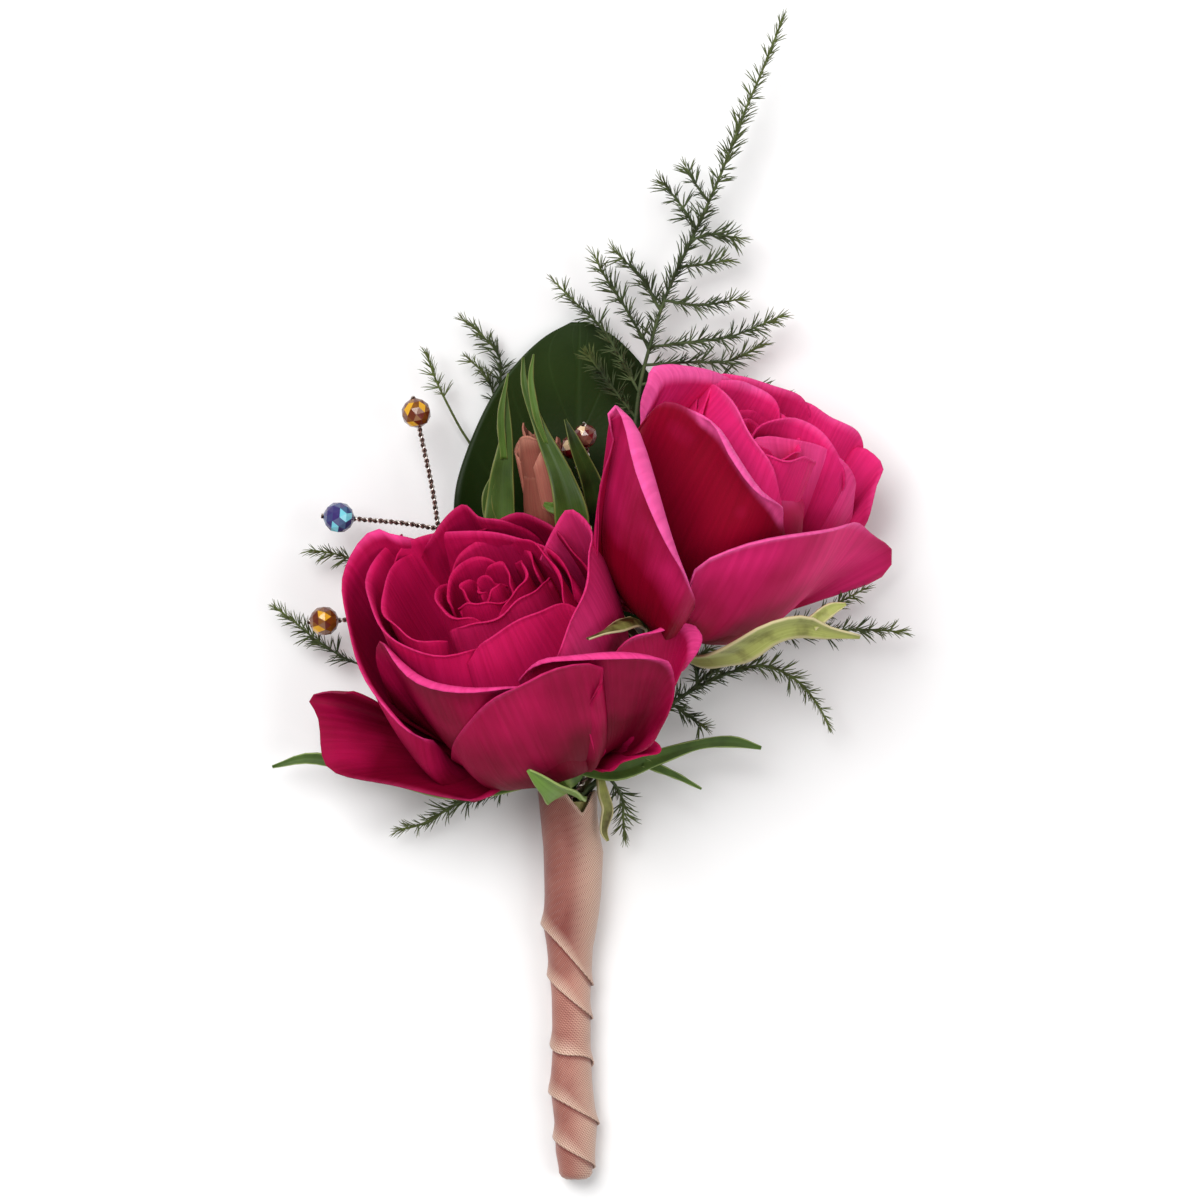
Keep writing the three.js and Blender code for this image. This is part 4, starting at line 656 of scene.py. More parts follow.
sideRose = {
    "base": [12.4, -3.4, 15], "rise": 25, "turn": 24.6, "thickness": 0.42, "seed": 9,
    "heart": {"count": 8, "radius": [7.6, 1.8], "height": [31.6, 29.4], "start": 40, "half": 62,
              "shift": [-1.5, 0.6]},
    "innerTone": 0.15,
    "core": [[0, 0.6], [6.4, 1.3], [10, 3.8], [11.6, 8], [11.6, 16], [10, 23], [6.4, 25.5], [0, 26]],
    # a petal's tone is painted light and shade: above 0 lighter, below 0 deeper
    "petals": [
        {"belly": 18.5, "roll": 2.6, "tone": -0.5, "lip": [  # left
            [1.3, 0.6, 5, 0], [1.6, 7.6, 13, 0.3], [2, 14.6, 21, 0.6], [3.6, 20.9, 28, 1],
            [3, 24.4, 32, 1.6], [5.4, 26, 34, 2.8], [7.5, 23, 33, 4.4], [8.9, 18.5, 30.5, 5.2],
            [10.6, 13.2, 27, 5], [12.5, 7.3, 22.5, 3.8], [14.2, 2, 17, 1.8], [14.8, -1.5, 11, 0.4]]},
        {"belly": 17, "roll": 2.4, "lip": [  # back left
            [7.5, 21.6, 25, 0.5], [8.9, 25.1, 29, 3], [10.3, 28.5, 33, 3.6], [11.4, 30.3, 35, 4],
            [14.5, 30.5, 36, 3.6], [18, 30.1, 35.5, 2.5], [21.5, 28.6, 33, 1.2], [23.6, 25.4, 29, 0]]},
        {"belly": 17, "roll": 2.4, "tone": -1.1, "lip": [  # front left
            [5.8, 17.4, 21, 0.2], [8.2, 23.7, 30, 0.5], [10.7, 26, 34, 0.9], [14.5, 24.9, 34.5, 1.2],
            [18.4, 23.2, 34, 3.8], [20.8, 19.5, 32.5, 5.2], [23.6, 15.4, 30, 5], [26, 12.3, 27, 3.2],
            [27.4, 8.3, 22, 0.6]]},
        {"belly": 17.5, "tone": 0.9, "lip": [  # front right
            [20.8, 16, 25, 0], [22.9, 21.1, 30, 0.8], [27.8, 21.3, 31, 1], [32.7, 20.3, 30.5, 1.2],
            [36.2, 17.9, 28.5, 1], [37.7, 14.6, 25, 0.5], [36.9, 9, 17, 0]]},
        {"belly": 16, "lip": [  # low, with its lip turned down
            [15.1, -2.2, 6, 0], [14.5, 1.1, 13.6, 1], [15.9, 4.5, 18, 2.2], [21.5, 7.1, 22.3, 2.6],
            [27.8, 8.8, 25.2, 2.6], [33.4, 9.9, 25.8, 2.2], [36.9, 9.9, 24, 1.6], [40, 8.1, 20.5, 1],
            [42.9, 6.4, 17.5, 0.6], [42.5, 3.4, 14, 0.6], [39.4, 1.4, 10, 0.4], [34.8, 0.8, 7, 0.2]]},
        {"belly": 18, "lip": [  # back top
            [15.9, 27.2, 28, 0], [18, 30.2, 32, 1], [21.5, 30, 33.5, 1.4], [25.7, 28.8, 33.5, 1.4],
            [29.9, 27.4, 33, 1.2], [31.6, 24.4, 30, 0]]},
        {"belly": 18, "lip": [  # back right
            [27.1, 24.4, 29, 0], [29.9, 26.9, 32, 1], [34.1, 24.6, 31.5, 1.4], [37.6, 23, 30.5, 1.4],
            [38.6, 20.9, 28, 0.6], [38, 17.4, 24, 0]]},
        {"belly": 17.5, "lip": [  # right
            [35.5, 13.2, 17, 0], [36.6, 19.5, 26, 0.5], [38.6, 20.7, 28.5, 0.8], [41.5, 18.2, 27.5, 1],
            [40.5, 15.3, 25, 1.2], [39.4, 11.5, 21, 1], [38.3, 8.7, 17, 0.6], [36.2, 6.9, 12, 0]]},
    ],
    "rims": [
        {"belly": 15, "lip": [
            [14.5, 21.6, 27, 0], [15.9, 27.9, 32, 0.8], [17.6, 28.8, 34, 1], [20.1, 26.5, 34, 1.4],
            [22.6, 22.7, 33, 1.4], [24.9, 18.5, 31, 1.2], [26.5, 13.9, 27, 0.8], [27.4, 9.7, 22, 0.2]]},
        {"belly": 14, "lip": [
            [15.9, 24.4, 30, 0], [17.6, 28.3, 33.5, 1], [19.8, 29.3, 34.5, 1.4], [23.6, 28.3, 34, 1.8],
            [26.4, 26.5, 33, 1], [27.1, 23, 30, 0]]},
        {"belly": 15, "lip": [
            [22.2, 17.4, 27, 0], [24, 23.2, 31, 0.8], [27.8, 24.4, 32.5, 1.2], [31.6, 23, 32.5, 1.4],
            [34.1, 20.4, 31, 1.2], [35.8, 17.4, 28, 0.4], [35.5, 13.2, 23, 0]]},
    ],
    # deep: the deeper red of the random patches and of the painted shade; lip: the roll's paler back with a painted
    # highlight
    "look": {"deep": sRgb(132, 0, 34), "body": sRgb(222, 38, 114), "lip": sRgb(246, 96, 168), "veins": 0.55,
             "lipWidth": 0.24, "sheen": 0.0},
}
petalDetail = {"rows": 16, "columns": 29, "curlRows": 5, "start": 0.02}

for name, rose, nodeName, slotName in (("open_rose_bloom", openRose, "open_rose_petals", "open_rose"),
                                       ("side_rose_bloom", sideRose, "side_rose_petals", "side_rose")):
    flower = flowerFrame(rose["base"], rose["rise"], rose["turn"])
    made = growBloom(name, flower, rose, petalDetail)
    dress(made, petalMaterial(slotName + "_petal", rose["look"]))
    finishPiece(made, nodeName)
print("roses made")


# bud
bud = {
    "base": [-3.7, 4.8, 9.5], "rise": 9, "turn": -12.5, "thickness": 0.4, "seed": 2,
    "heart": {"count": 5, "radius": [3.3, 1.2], "height": [17, 20], "start": 60, "half": 75},
    "core": [[0, 0.5], [2.2, 1], [3.6, 4.5], [3.5, 8], [2.4, 13], [1.2, 16], [0, 17]],
    "petals": [], "rims": [], "innerTone": 0,
    # deep: the darker brown of the random patches and of the painted shade in the heart; lip: the roll's paler back
    # with a painted highlight
    "look": {"deep": sRgb(104, 50, 38), "body": sRgb(168, 104, 88), "lip": sRgb(206, 146, 124), "veins": 0.5,
             "lipWidth": 0.3, "sheen": 0.03},
}
budFlower = flowerFrame(bud["base"], bud["rise"], bud["turn"])
budBloom = growBloom("bud_bloom", budFlower, bud, {"rows": 12, "columns": 17, "curlRows": 3, "start": 0.02})
dress(budBloom, petalMaterial("bud_petal", bud["look"]))
finishPiece(budBloom, "bud_petals")
print("bud made")


# stems in the handle, sepals and cups
handle = {
    "mouth": [-2.3, -28.1, 5.0], "foot": [-1.75, -82.9, 2.6],
    "straight": [6, 1],      # depths at which every stem is still straight
    # across, up, radius, how far down it runs
    "openRose": [-0.82, 0.28, 0.62, 48], "sideRose": [0.82, 0.28, 0.62, 46], "bud": [0.3, -1, 0.45, 22],
    "leaf": [-0.6, -1.72, 0.38, 12], "wireLeft": [-1.86, -0.38, 0.28, 10], "fernLeft": [-1.5, -1.18, 0.28, 12],
    "fernTall": [1.4, -1.2, 0.33, 12], "fernRight": [1.9, -0.55, 0.28, 12], "wireCentre": [0, 1.9, 0.28, 10],
    "fernLowRight": [1.22, 1.44, 0.28, 10], "fernLowLeft": [-1.22, 1.44, 0.28, 10],
}


def onAxis(depth, x=0.0, up=0.0):
    mouth, foot = np.array(handle["mouth"]), np.array(handle["foot"])
    return mouth + (foot - mouth) * depth / (mouth[1] - foot[1]) + [x, 0, up]


def fromHandle(slotName, points):
    x, up, radius, deep = handle[slotName]
    return [list(onAxis(depth, x, up)) for depth in [deep] + handle["straight"]] + points


# a pointed blade along a middle line, folded along it, its edges a little waved
def addBlade(shape, blade, count=26, columns=9):
    line = throughPoints([p + [h] for p, h in zip(blade["path"], blade["half"])], count)
    centres, half = line[:, :3], line[:, 3]
    tangents = np.gradient(centres, axis=0)
    facing = blade.get("facing", [0, 0, 1])
    fold, wave, curl = blade.get("fold", 0.35), blade.get("wave", 0.12), blade.get("curl", 0)
    grid = np.zeros((count, columns, 3))
    for i, (centre, tangent) in enumerate(zip(centres, tangents)):
        tangent = unit(tangent)
        side = unit(np.cross(tangent, facing))
        lift = np.cross(side, tangent)
        for j, across in enumerate(np.linspace(-1, 1, columns)):
            edge = abs(across)
            ripple = wave * edge ** 2 * math.sin(i * 0.9 + (2 if across > 0 else 0))
            bend = curl * edge * half[i]
            reach = math.sin(bend) / curl if curl else edge * half[i]
            rise = (1 - math.cos(bend)) / curl if curl else fold * edge * half[i]
            grid[i, j] = centre + side * math.copysign(reach, across) + lift * (rise + ripple * half[i])
    shape.addGrid(grid, blade.get("tone", 0.0), 1 - 0.5 * np.linspace(0, 1, count) ** 2)


roseCup = [[0, -6.2], [2, -5.8], [3.1, -4], [3.3, -2.2], [2.8, -0.9], [0, -0.6]]
openRoseGreen = {
    "cup": roseCup,
    "stem": [[-2.9, -26.6, 5.6]], "stemRadius": 0.62, "thickness": 0.4,
    "blades": [
        {"path": [[-5.5, -24.2, 7.5], [-10, -26.5, 7.5], [-19, -27.8, 7], [-29, -25.4, 6.5], [-38.5, -23.2, 6.5],
                  [-44.4, -24.4, 6.5]], "half": [1, 1.2, 1.2, 1, 0.8, 0.2]},
        {"path": [[-2.5, -24, 7.5], [4, -25, 8], [10, -23, 8.5], [15.8, -21.2, 9], [20.5, -20.8, 9],
                  [24.6, -21.7, 8.5]], "half": [1.1, 1.3, 1.1, 0.7, 0.8, 0.25]},
        {"path": [[8, -23.7, 8.3], [12.6, -25.6, 8], [16.2, -27.5, 7.5]], "half": [0.7, 0.45, 0.15]},
        {"path": [[-4.8, -24.6, 8.5], [-3.2, -26.6, 12], [-2.6, -27.6, 18], [-4.2, -26.8, 24.5], [-8, -24.3, 29]],
         "half": [1, 2, 2.6, 2.2, 0.3], "facing": [0, -0.8, 0.6], "fold": 0.5, "tone": 0.7},
    ],
    "look": {"dark": sRgb(34, 52, 22), "light": sRgb(112, 146, 62), "edge": sRgb(150, 170, 100), "edgeWidth": 0.05,
             "patches": 180.0, "contrast": 1.0, "roughness": 0.5},
}
sideRoseGreen = {
    "cup": roseCup,
    "stem": [[1.6, -24, 5.6], [6.5, -15.5, 8.5]], "stemRadius": 0.62, "thickness": 0.4,
    "blades": [
        {"path": [[9.5, -6.5, 13], [6, -4, 14], [3, 0, 15], [1, 5, 17], [0.6, 9.5, 19]],
         "half": [1.2, 1.9, 1.9, 1.4, 0.3], "facing": [-1, 0.2, 0.4], "tone": -0.25},
        {"path": [[9.6, -6.4, 13.5], [7.8, -4.9, 19.7], [7, -3.6, 29.6], [4.4, -4.3, 36.6], [0.2, -6.1, 40]],
         "half": [1, 1.3, 1.2, 1, 0.3], "facing": [-0.6, -0.8, 0.3], "tone": -0.2},
        {"path": [[12, -6, 12], [14, -8.6, 17.6], [19.8, -8.3, 26.6], [25, -5.2, 31.8], [29.5, -4.1, 31.4],
                  [33, -5, 30], [37.8, -5.9, 29]],
         "half": [1, 1.5, 2, 2.2, 2, 1.3, 0.3], "facing": [0, -0.7, 0.7], "tone": 0.6},
        {"path": [[31, -4.2, 30.6], [33.6, -2.2, 30.8], [35.8, -1.4, 30.6]], "half": [1, 0.9, 0.2], "tone": 0.6},
        {"path": [[1.8, -25, 6.4], [2.2, -27.6, 8.4], [2.9, -30.4, 8.4], [2.4, -33.2, 8.6], [3, -34.8, 8.8]],
         "half": [0.5, 0.8, 0.9, 0.6, 0.2], "facing": [0.5, 0, 1], "curl": 0.5, "tone": 0.2},
    ],
    "look": {"dark": sRgb(58, 40, 14), "light": sRgb(166, 170, 96), "edge": sRgb(206, 194, 150), "edgeWidth": 0.14,
             "patches": 210.0, "contrast": 3.2, "roughness": 0.5},
}
budGreen = {
    "cup": [[0, -4.6], [1.4, -4.3], [2.1, -2.8], [2.1, -1.2], [1.5, -0.3], [0, -0.1]],
    "stem": [[-1, -22, 3.6], [0.6, -12, 3.8], [-0.2, -3, 5.6]], "stemRadius": 0.62, "thickness": 0.35,
    "blades": [
        {"path": [[-5.6, 3, 9], [-11.6, 8, 9.8], [-12, 15, 10.6], [-11.3, 22, 11.8], [-11.3, 28.6, 12.5]],
         "half": [1.2, 2.2, 1.8, 0.9, 0.15], "tone": 0.2},
        {"path": [[-2.5, 4.5, 11.5], [-2, 10, 15.2], [-3.4, 16, 15.8], [-6.4, 23, 15], [-8.6, 29, 14.5],
                  [-8.9, 33.2, 14]], "half": [1.4, 2.4, 1.7, 0.9, 0.5, 0.15], "tone": 0.1},
        {"path": [[-1.6, 3.8, 9], [1.8, 7.5, 9.8], [1.2, 14, 12], [-1.4, 20.6, 14.4], [-3, 24.5, 14.6]],
         "half": [1.2, 2, 1.6, 0.9, 0.15], "tone": -0.3},
        {"path": [[-10, 7.5, 9.6], [-13.2, 10, 10.2], [-14, 13.4, 10.6], [-13.2, 16, 10.8], [-12, 17.6, 11]],
         "half": [0.6, 0.8, 0.7, 0.5, 0.15], "tone": 0.1},
        {"path": [[-5.6, 21, 15.2], [-7, 25, 15.4], [-7.8, 30, 15], [-7.4, 33.6, 14.4]],
         "half": [0.3, 0.5, 0.4, 0.1], "tone": 0.5},
        {"path": [[-11.6, 19, 11.4], [-12, 25, 12.6], [-11, 31, 13]], "half": [0.5, 0.5, 0.1], "tone": 0.5},
        {"path": [[-5.9, 12.6, 14.8], [-4.4, 12, 15.6], [-2.4, 12.3, 15.4]], "half": [0.3, 0.8, 0.3], "tone": 1.0},
    ],
    "look": {"dark": sRgb(24, 34, 10), "light": sRgb(82, 112, 40), "edge": sRgb(122, 128, 66), "edgeWidth": 0.06,
             "patches": 120.0, "contrast": 1.4, "roughness": 0.45},
}


def growGreen(name, green, flower, slotName):
    blades = Shape()
    for blade in green["blades"]:
        addBlade(blades, blade)
    leaves = thicken(blades.toObject(name), green["thickness"])
    solid = Shape()
    solid.addGrid(turnedGrid(flower, green["cup"], 12, 20), ring=True)
    neck = list(inFlower(flower, 0, 0, green["cup"][0][1] + 1.2))
    path = fromHandle(slotName, green["stem"] + [neck])
    radius = handle[slotName][2]
    addTube(solid, path, [radius] * 3 + [green["stemRadius"]] * (len(path) - 3), 60)
    return joinPieces(name, [leaves, solid.toObject(name + "_stem")])


greens = (("open_rose_sepals", openRoseGreen, openRose, "openRose", "open_rose_calyx"),
          ("side_rose_sepals", sideRoseGreen, sideRose, "sideRose", "side_rose_calyx"),
          ("bud_sepals", budGreen, bud, "bud", "bud_calyx"))
for name, green, owner, slotName, nodeName in greens:
    made = growGreen(name, green, flowerFrame(owner["base"], owner["rise"], owner["turn"]), slotName)
    dress(made, greenMaterial(nodeName + "_green", green["look"]))
    finishPiece(made, nodeName)
print("sepals and stems made")


# lemon leaf
leaf = {
    # distance up from the blade's foot, its middle line across, and its half width
    "stations": [[0, -1.9, 0.6], [5, -1.9, 3.5], [12, -1.8, 8.5], [20, -1.7, 13.5], [28, -1.5, 16.8],
                 [35, -1.4, 17.2], [42, -1.3, 15.4], [49, -1.2, 12.2], [54, -1.1, 8.6], [57.5, -1, 5],
                 [59.6, -1, 1.2]],
    "foot": -21, "thickness": 0.5, "grid": [70, 41], "height": 0.27,
    # left and right: how far out the blade lies flat, and how far its edge stands up beyond that
    "flat": [5, 12], "lift": [4, 1.4], "reach": 18, "wave": 0.35,
    "tipLift": 1.6, "tipRises": [44, 60],     # between these distances from the foot
    "petiole": [[-2.6, -25.4, 2.4], [-1.9, -21, 0.9], [-1.8, -14, 0.62]],
    # the last point is the centre of a painted pool of light on the blade; away from it the blade is painted darker,
    # as shade
    "dark": sRgb(11, 24, 4), "light": sRgb(54, 76, 26), "vein": sRgb(62, 84, 40), "paintedLightAt": [-7, 33, 3],
}


def growLeaf():
    shape = Shape()
    rows, columns = leaf["grid"]
    grid = np.zeros((rows, columns, 3))
    for i, (distance, middle, half) in enumerate(throughPoints(leaf["stations"], rows)):
        for j, column in enumerate(np.linspace(-1, 1, columns)):
            across, edge = column * half, 0 if column < 0 else 1
            beyond = max(abs(across) - leaf["flat"][edge], 0) / (leaf["reach"] - leaf["flat"][edge])
            ripple = leaf["wave"] * math.sin(distance * 0.45 + column * 2) * abs(column) ** 3
            tip = leaf["tipLift"] * float(smoothStep(*leaf["tipRises"], distance))
            z = leaf["height"] + leaf["lift"][edge] * beyond ** 1.4 + ripple * beyond + tip
            grid[i, j] = [middle + across, leaf["foot"] + distance, z]
    shape.addGrid(grid)
    blade = thicken(shape.toObject("leaf_blade"), leaf["thickness"])
    stalk = Shape()
    addTube(stalk, fromHandle("leaf", leaf["petiole"]), [0.4, 0.4, 0.4, 0.45, 0.5, 0.3], 50)
    made = joinPieces("leaf_blade", [blade, stalk.toObject("leaf_stalk")])
    material, shader, add, links = newMaterial("leaf_green", Roughness=0.45, Specular_IOR_Level=0.1,
                                               Coat_Weight=0.03, Coat_Roughness=0.3)
    places = add("ShaderNodeTexCoord")
    tones = placeGroup(add, cloudTones, Vector=places.outputs["Object"], Scale=60.0, Dark=leaf["dark"],
                       Light=leaf["light"], Contrast=0.9, Grain=1800.0)
    # painted light and shade: the blade keeps its clouds round the lit point and is painted darker further from it
    away = add("ShaderNodeVectorMath", {"operation": "DISTANCE"}, i0=places.outputs["Object"],
               i1=tuple(c * mm for c in leaf["paintedLightAt"]))
    pale = rangeNode(add, away.outputs["Value"], (0.003, 0.026), (0.0, 0.85))
    shaded = mixNode(add, pale, tones.outputs["Color"], leaf["dark"])
    veins = placeGroup(add, leafVeins, UV=places.outputs["UV"])
    part = mathNode(add, "MULTIPLY", veins.outputs["Mask"], 0.22)
    blend = mixNode(add, part, shaded, leaf["vein"])
    links.new(blend, shader.inputs["Base Color"])
    relief = mathNode(add, "MULTIPLY_ADD", veins.outputs["Height"], -1.0, tones.outputs["Height"])
    addBump(add, links, shader, relief, 0.3, 0.12)
    dress(made, material)
    finishPiece(made, "lemon_leaf")


growLeaf()
print("leaf made")


# asparagus fern
fern = {
    "needleLength": 3.0, "needleStep": 0.37, "spread": 48, "floor": 0.35, "stemRadius": 0.22,
    "tuft": [[0, 0, 1], [14, 40, 0.85], [20, 160, 0.75], [16, 280, 0.9]],   # lean, turn and length of each needle
    "needle": [[0, 0.024, 0], [0.4, 0.032, 0.03], [0.8, 0.022, 0.05], [1, 0.003, 0.03]],   # height, half width, bend
    "dark": sRgb(34, 44, 28), "light": sRgb(92, 106, 66), "tip": sRgb(112, 122, 56),
}
sprays = {
    "fern_tall": {"slot": "fernTall", "seed": 101, "branches": [
        {"bare": 0.5, "path": [[0.8, -17, 2.9], [3.6, -4, 3.2], [5.8, 12, 3.8], [7.2, 27.2, 4.6], [8.9, 34.9, 5.4],
                               [11.4, 42.6, 6.2], [15.9, 52.4, 7], [19, 59.4, 7.4], [22.2, 67.8, 7.8],
                               [24.6, 73.4, 8], [27.7, 81.2, 8.2]]},
        {"path": [[7.4, 28.6, 4.8], [2.6, 37, 5.4], [-1.6, 41.2, 5.8], [-4.4, 44, 6]]},
        {"path": [[8.9, 34.6, 5.4], [5, 41.2, 6.6], [2.6, 44.8, 7], [1.2, 47.6, 7.2]]},
        {"path": [[10.4, 40.2, 6], [7.6, 44.8, 7.2], [5.4, 47, 7.8], [4, 48.4, 8]]},
        {"path": [[15.5, 51.6, 7], [13.2, 55, 7.6], [10.6, 58.2, 8]]},
        {"path": [[17.2, 55.4, 7.2], [15.2, 58.2, 6.6], [14.1, 60.2, 6.4]]},
        {"path": [[14.8, 50, 6.8], [17.6, 50.8, 7.4], [21.4, 50.2, 7.8]]},
        {"path": [[13, 46.2, 6.5], [16.6, 46.6, 6.2], [20.2, 47.2, 6]]},
        {"path": [[11, 41.5, 6.1], [16, 40.8, 7], [21.6, 41.6, 7.4]]},
        {"path": [[8.9, 34.9, 5.4], [14.4, 35.6, 5.4], [20.4, 36.4, 6.2], [27.4, 39.2, 6.6]]},
        {"path": [[8.3, 32.4, 5.1], [14.5, 32.8, 4.8], [20, 33, 4.6], [24.8, 35.2, 4.4]]},
        {"bare": 0.5, "path": [[7.6, 29.6, 4.8], [15, 31, 3.2], [22, 29.6, 3], [28, 28.1, 3.2]]},
        {"path": [[6.9, 25, 4.5], [3.2, 29.8, 5.6], [0, 34, 6]]},
    ]},
    "fern_left": {"slot": "fernLeft", "seed": 102, "branches": [
        {"bare": 0.88, "path": [[-7, -19, 1.1], [-13, -7, 0.6], [-15, 4, 0.6], [-14, 14, 0.65], [-15.6, 19.6, 1],
                                [-18.2, 24, 2.8], [-21.2, 30, 4.6], [-22.6, 34, 5.4]]},
        {"bare": 0.4, "path": [[-14, 13, 0.6], [-13, 22, 0.6], [-13.2, 28, 0.9], [-14.4, 31, 2.2],
                               [-17, 33.6, 3.6]]},
        {"bare": 0.4, "path": [[-13, 20, 0.6], [-12.4, 29, 0.6], [-12.4, 33.6, 2.4], [-15, 36.8, 4.2],
                               [-17.4, 38.8, 5]]},
        {"bare": 0.8, "path": [[-12, -9, 0.6], [-20, -4, 1.4], [-28, 2, 2.6], [-34, 5.2, 4], [-38.6, 6.2, 4.6]]},
        {"bare": 0.6, "path": [[-11.2, -11, 0.65], [-20, -10.4, 1.6], [-31, -10.2, 3.4], [-37, -7.4, 4.4],
                               [-41, -4.2, 4.8], [-44.2, -1.8, 5]]},
    ]},
    "fern_right": {"slot": "fernRight", "seed": 103, "branches": [
        {"bare": 0.3, "path": [[1.6, -26.4, 4.5], [6, -20.6, 4.6], [13, -14.8, 5.2], [20, -11.2, 6],
                               [25.4, -10.2, 6.4], [29.9, -12.4, 6.6], [32.6, -15.6, 6.4], [34.1, -18.4, 6]]},
        {"path": [[14, -14.2, 5.3], [22, -7.4, 5.6], [30.6, -4.2, 6], [36.4, -0.8, 6.6], [39.4, 0.8, 6.8]]},
        {"bare": 0.2, "path": [[24, -6.6, 5.7], [31.4, -5.6, 7], [38, -5, 7.6], [44.2, -5.3, 7.8]]},
        {"path": [[12, -15.5, 5.1], [15, -17.6, 6], [16.8, -18.9, 6.4]]},
        {"path": [[16, -13, 5.5], [15.4, -9.6, 6.6], [17.4, -7.6, 7]]},
    ]},
    "fern_low_left": {"slot": "fernLowLeft", "seed": 104, "branches": [
        {"bare": 0.3, "path": [[-3.5, -28.3, 6.7], [-5, -27.5, 6.7], [-7.6, -27.2, 5.9], [-12, -27.8, 5],
                               [-18, -29.6, 4.6], [-23, -32.4, 4.6], [-26.6, -33.4, 4.8]]},
    ]},
    "fern_low_right": {"slot": "fernLowRight", "seed": 105, "branches": [
        {"bare": 0.4, "path": [[-0.25, -28, 6.6], [0.7, -26.9, 6.8], [2.8, -25.8, 6.8], [4.9, -28.6, 5.8],
                               [5.2, -32, 5], [5.4, -34.6, 4.8]]},
    ]},
}


# a tuft of slim needles that lean out from +Z, the longest 1 mm before it is scaled
def makeTuft():
    shape = Shape()
    for lean, turn, length in fern["tuft"]:
        lean, turn = math.radians(lean), math.radians(turn)
        axis = np.array([math.sin(lean) * math.cos(turn), math.sin(lean) * math.sin(turn), math.cos(lean)])
        across = unit(np.cross(axis, [0.2, 1, 0]))
        other = np.cross(axis, across)
        rings = np.array([[axis * z * length + (w * math.cos(a) + bend) * across + w * math.sin(a) * other
                           for a in np.linspace(0, 2 * math.pi, 4, endpoint=False)]
                          for z, w, bend in fern["needle"]])
        shape.addGrid(rings, ring=True)
    return shape.toObject("fern_tuft")


# stems along the lines, and needles on them a golden turn apart, leaning towards the tip
def makeFernTree(tuft, material):
    tree = treeWith("fernSpray", [
        ("Needle Length", "Float", 3.9), ("Needle Step", "Float", 0.5), ("Spread", "Float", 44.0),
        ("Floor", "Float", 0.35), ("Stem Radius", "Float", 0.2), ("Seed", "Int", 1)])
    add = adder(tree)
    g = add("NodeGroupInput").outputs
    out = add("NodeGroupOutput")
    lines = add("GeometryNodeMeshToCurve", Mesh=g["Geometry"])
    stems = sweepRound(tree, add, lines.outputs[0], g["Stem Radius"], 6)
    step = mathNode(add, "MULTIPLY", g["Needle Step"], mm)
    points = add("GeometryNodeCurveToPoints", {"mode": "LENGTH"}, Curve=lines.outputs[0], Length=step)
    leafy = add("GeometryNodeInputNamedAttribute", {"data_type": "FLOAT"}, Name="leafy")
    share = add("GeometryNodeInputNamedAttribute", {"data_type": "FLOAT"}, Name="share")
    bareHere = add("FunctionNodeCompare", {"data_type": "FLOAT", "operation": "LESS_THAN"},
                   i0=leafy.outputs["Attribute"], i1=0.0)
    grown = add("GeometryNodeDeleteGeometry", {"domain": "POINT"}, Geometry=points.outputs["Points"],
                Selection=bareHere.outputs[0])
    index = add("GeometryNodeInputIndex")
    turn = mathNode(add, "MULTIPLY", index.outputs[0], math.radians(goldenTurn))
    loose = add("FunctionNodeRandomValue", {"data_type": "FLOAT"}, i2=-0.5, i3=0.5, Seed=g["Seed"])
    turned = mathNode(add, "ADD", turn, loose.outputs[1])
    lean = mathNode(add, "RADIANS", g["Spread"])
    forward = rangeNode(add, share.outputs["Attribute"], (0.93, 1.0), (1.0, 0.45))
    leaned = mathNode(add, "MULTIPLY", lean, forward)
    seedTwo = mathNode(add, "ADD", g["Seed"], 7.0)
    sway = add("FunctionNodeRandomValue", {"data_type": "FLOAT"}, i2=0.6, i3=1.45, Seed=seedTwo)
    tilt = mathNode(add, "MULTIPLY", leaned, sway.outputs[1])
    spin = add("FunctionNodeAxisAngleToRotation", i0=(0, 0, 1), i1=turned)
    lower = add("FunctionNodeAxisAngleToRotation", i0=(0, 1, 0), i1=tilt)
    both = add("FunctionNodeRotateRotation", {"rotation_space": "LOCAL"}, i0=points.outputs["Rotation"],
               i1=spin.outputs[0])
    facing = add("FunctionNodeRotateRotation", {"rotation_space": "LOCAL"}, i0=both.outputs[0], i1=lower.outputs[0])
    seedThree = mathNode(add, "ADD", g["Seed"], 13.0)
    longer = add("FunctionNodeRandomValue", {"data_type": "FLOAT"}, i2=0.55, i3=1.2, Seed=seedThree)
    shorter = rangeNode(add, share.outputs["Attribute"], (0.85, 1.0), (1.0, 0.65))
    reach = mathNode(add, "MULTIPLY", longer.outputs[1], shorter)
    length = mathNode(add, "MULTIPLY", reach, g["Needle Length"])
    direction = add("FunctionNodeRotateVector", i0=(0, 0, 1), i1=facing.outputs[0])
    split = add("ShaderNodeSeparateXYZ", Vector=direction.outputs[0])
    drop = mathNode(add, "MULTIPLY", split.outputs["Z"], length)
    dropMetres = mathNode(add, "MULTIPLY", drop, mm)
    place = add("ShaderNodeSeparateXYZ", Vector=add("GeometryNodeInputPosition").outputs[0])
    tip = mathNode(add, "ADD", place.outputs["Z"], dropMetres)
    floor = mathNode(add, "MULTIPLY", g["Floor"], mm)
    high = add("FunctionNodeCompare", {"data_type": "FLOAT", "operation": "GREATER_THAN"},
               i0=tip, i1=floor)
    shape = add("GeometryNodeObjectInfo", {"transform_space": "ORIGINAL"}, Object=tuft)
    needles = add("GeometryNodeInstanceOnPoints", Points=grown.outputs[0], Selection=high.outputs[0],
                  Instance=shape.outputs["Geometry"], Rotation=facing.outputs[0], Scale=length)
    finishTree(tree, add, out, [needles.outputs[0], stems], material)
    return tree


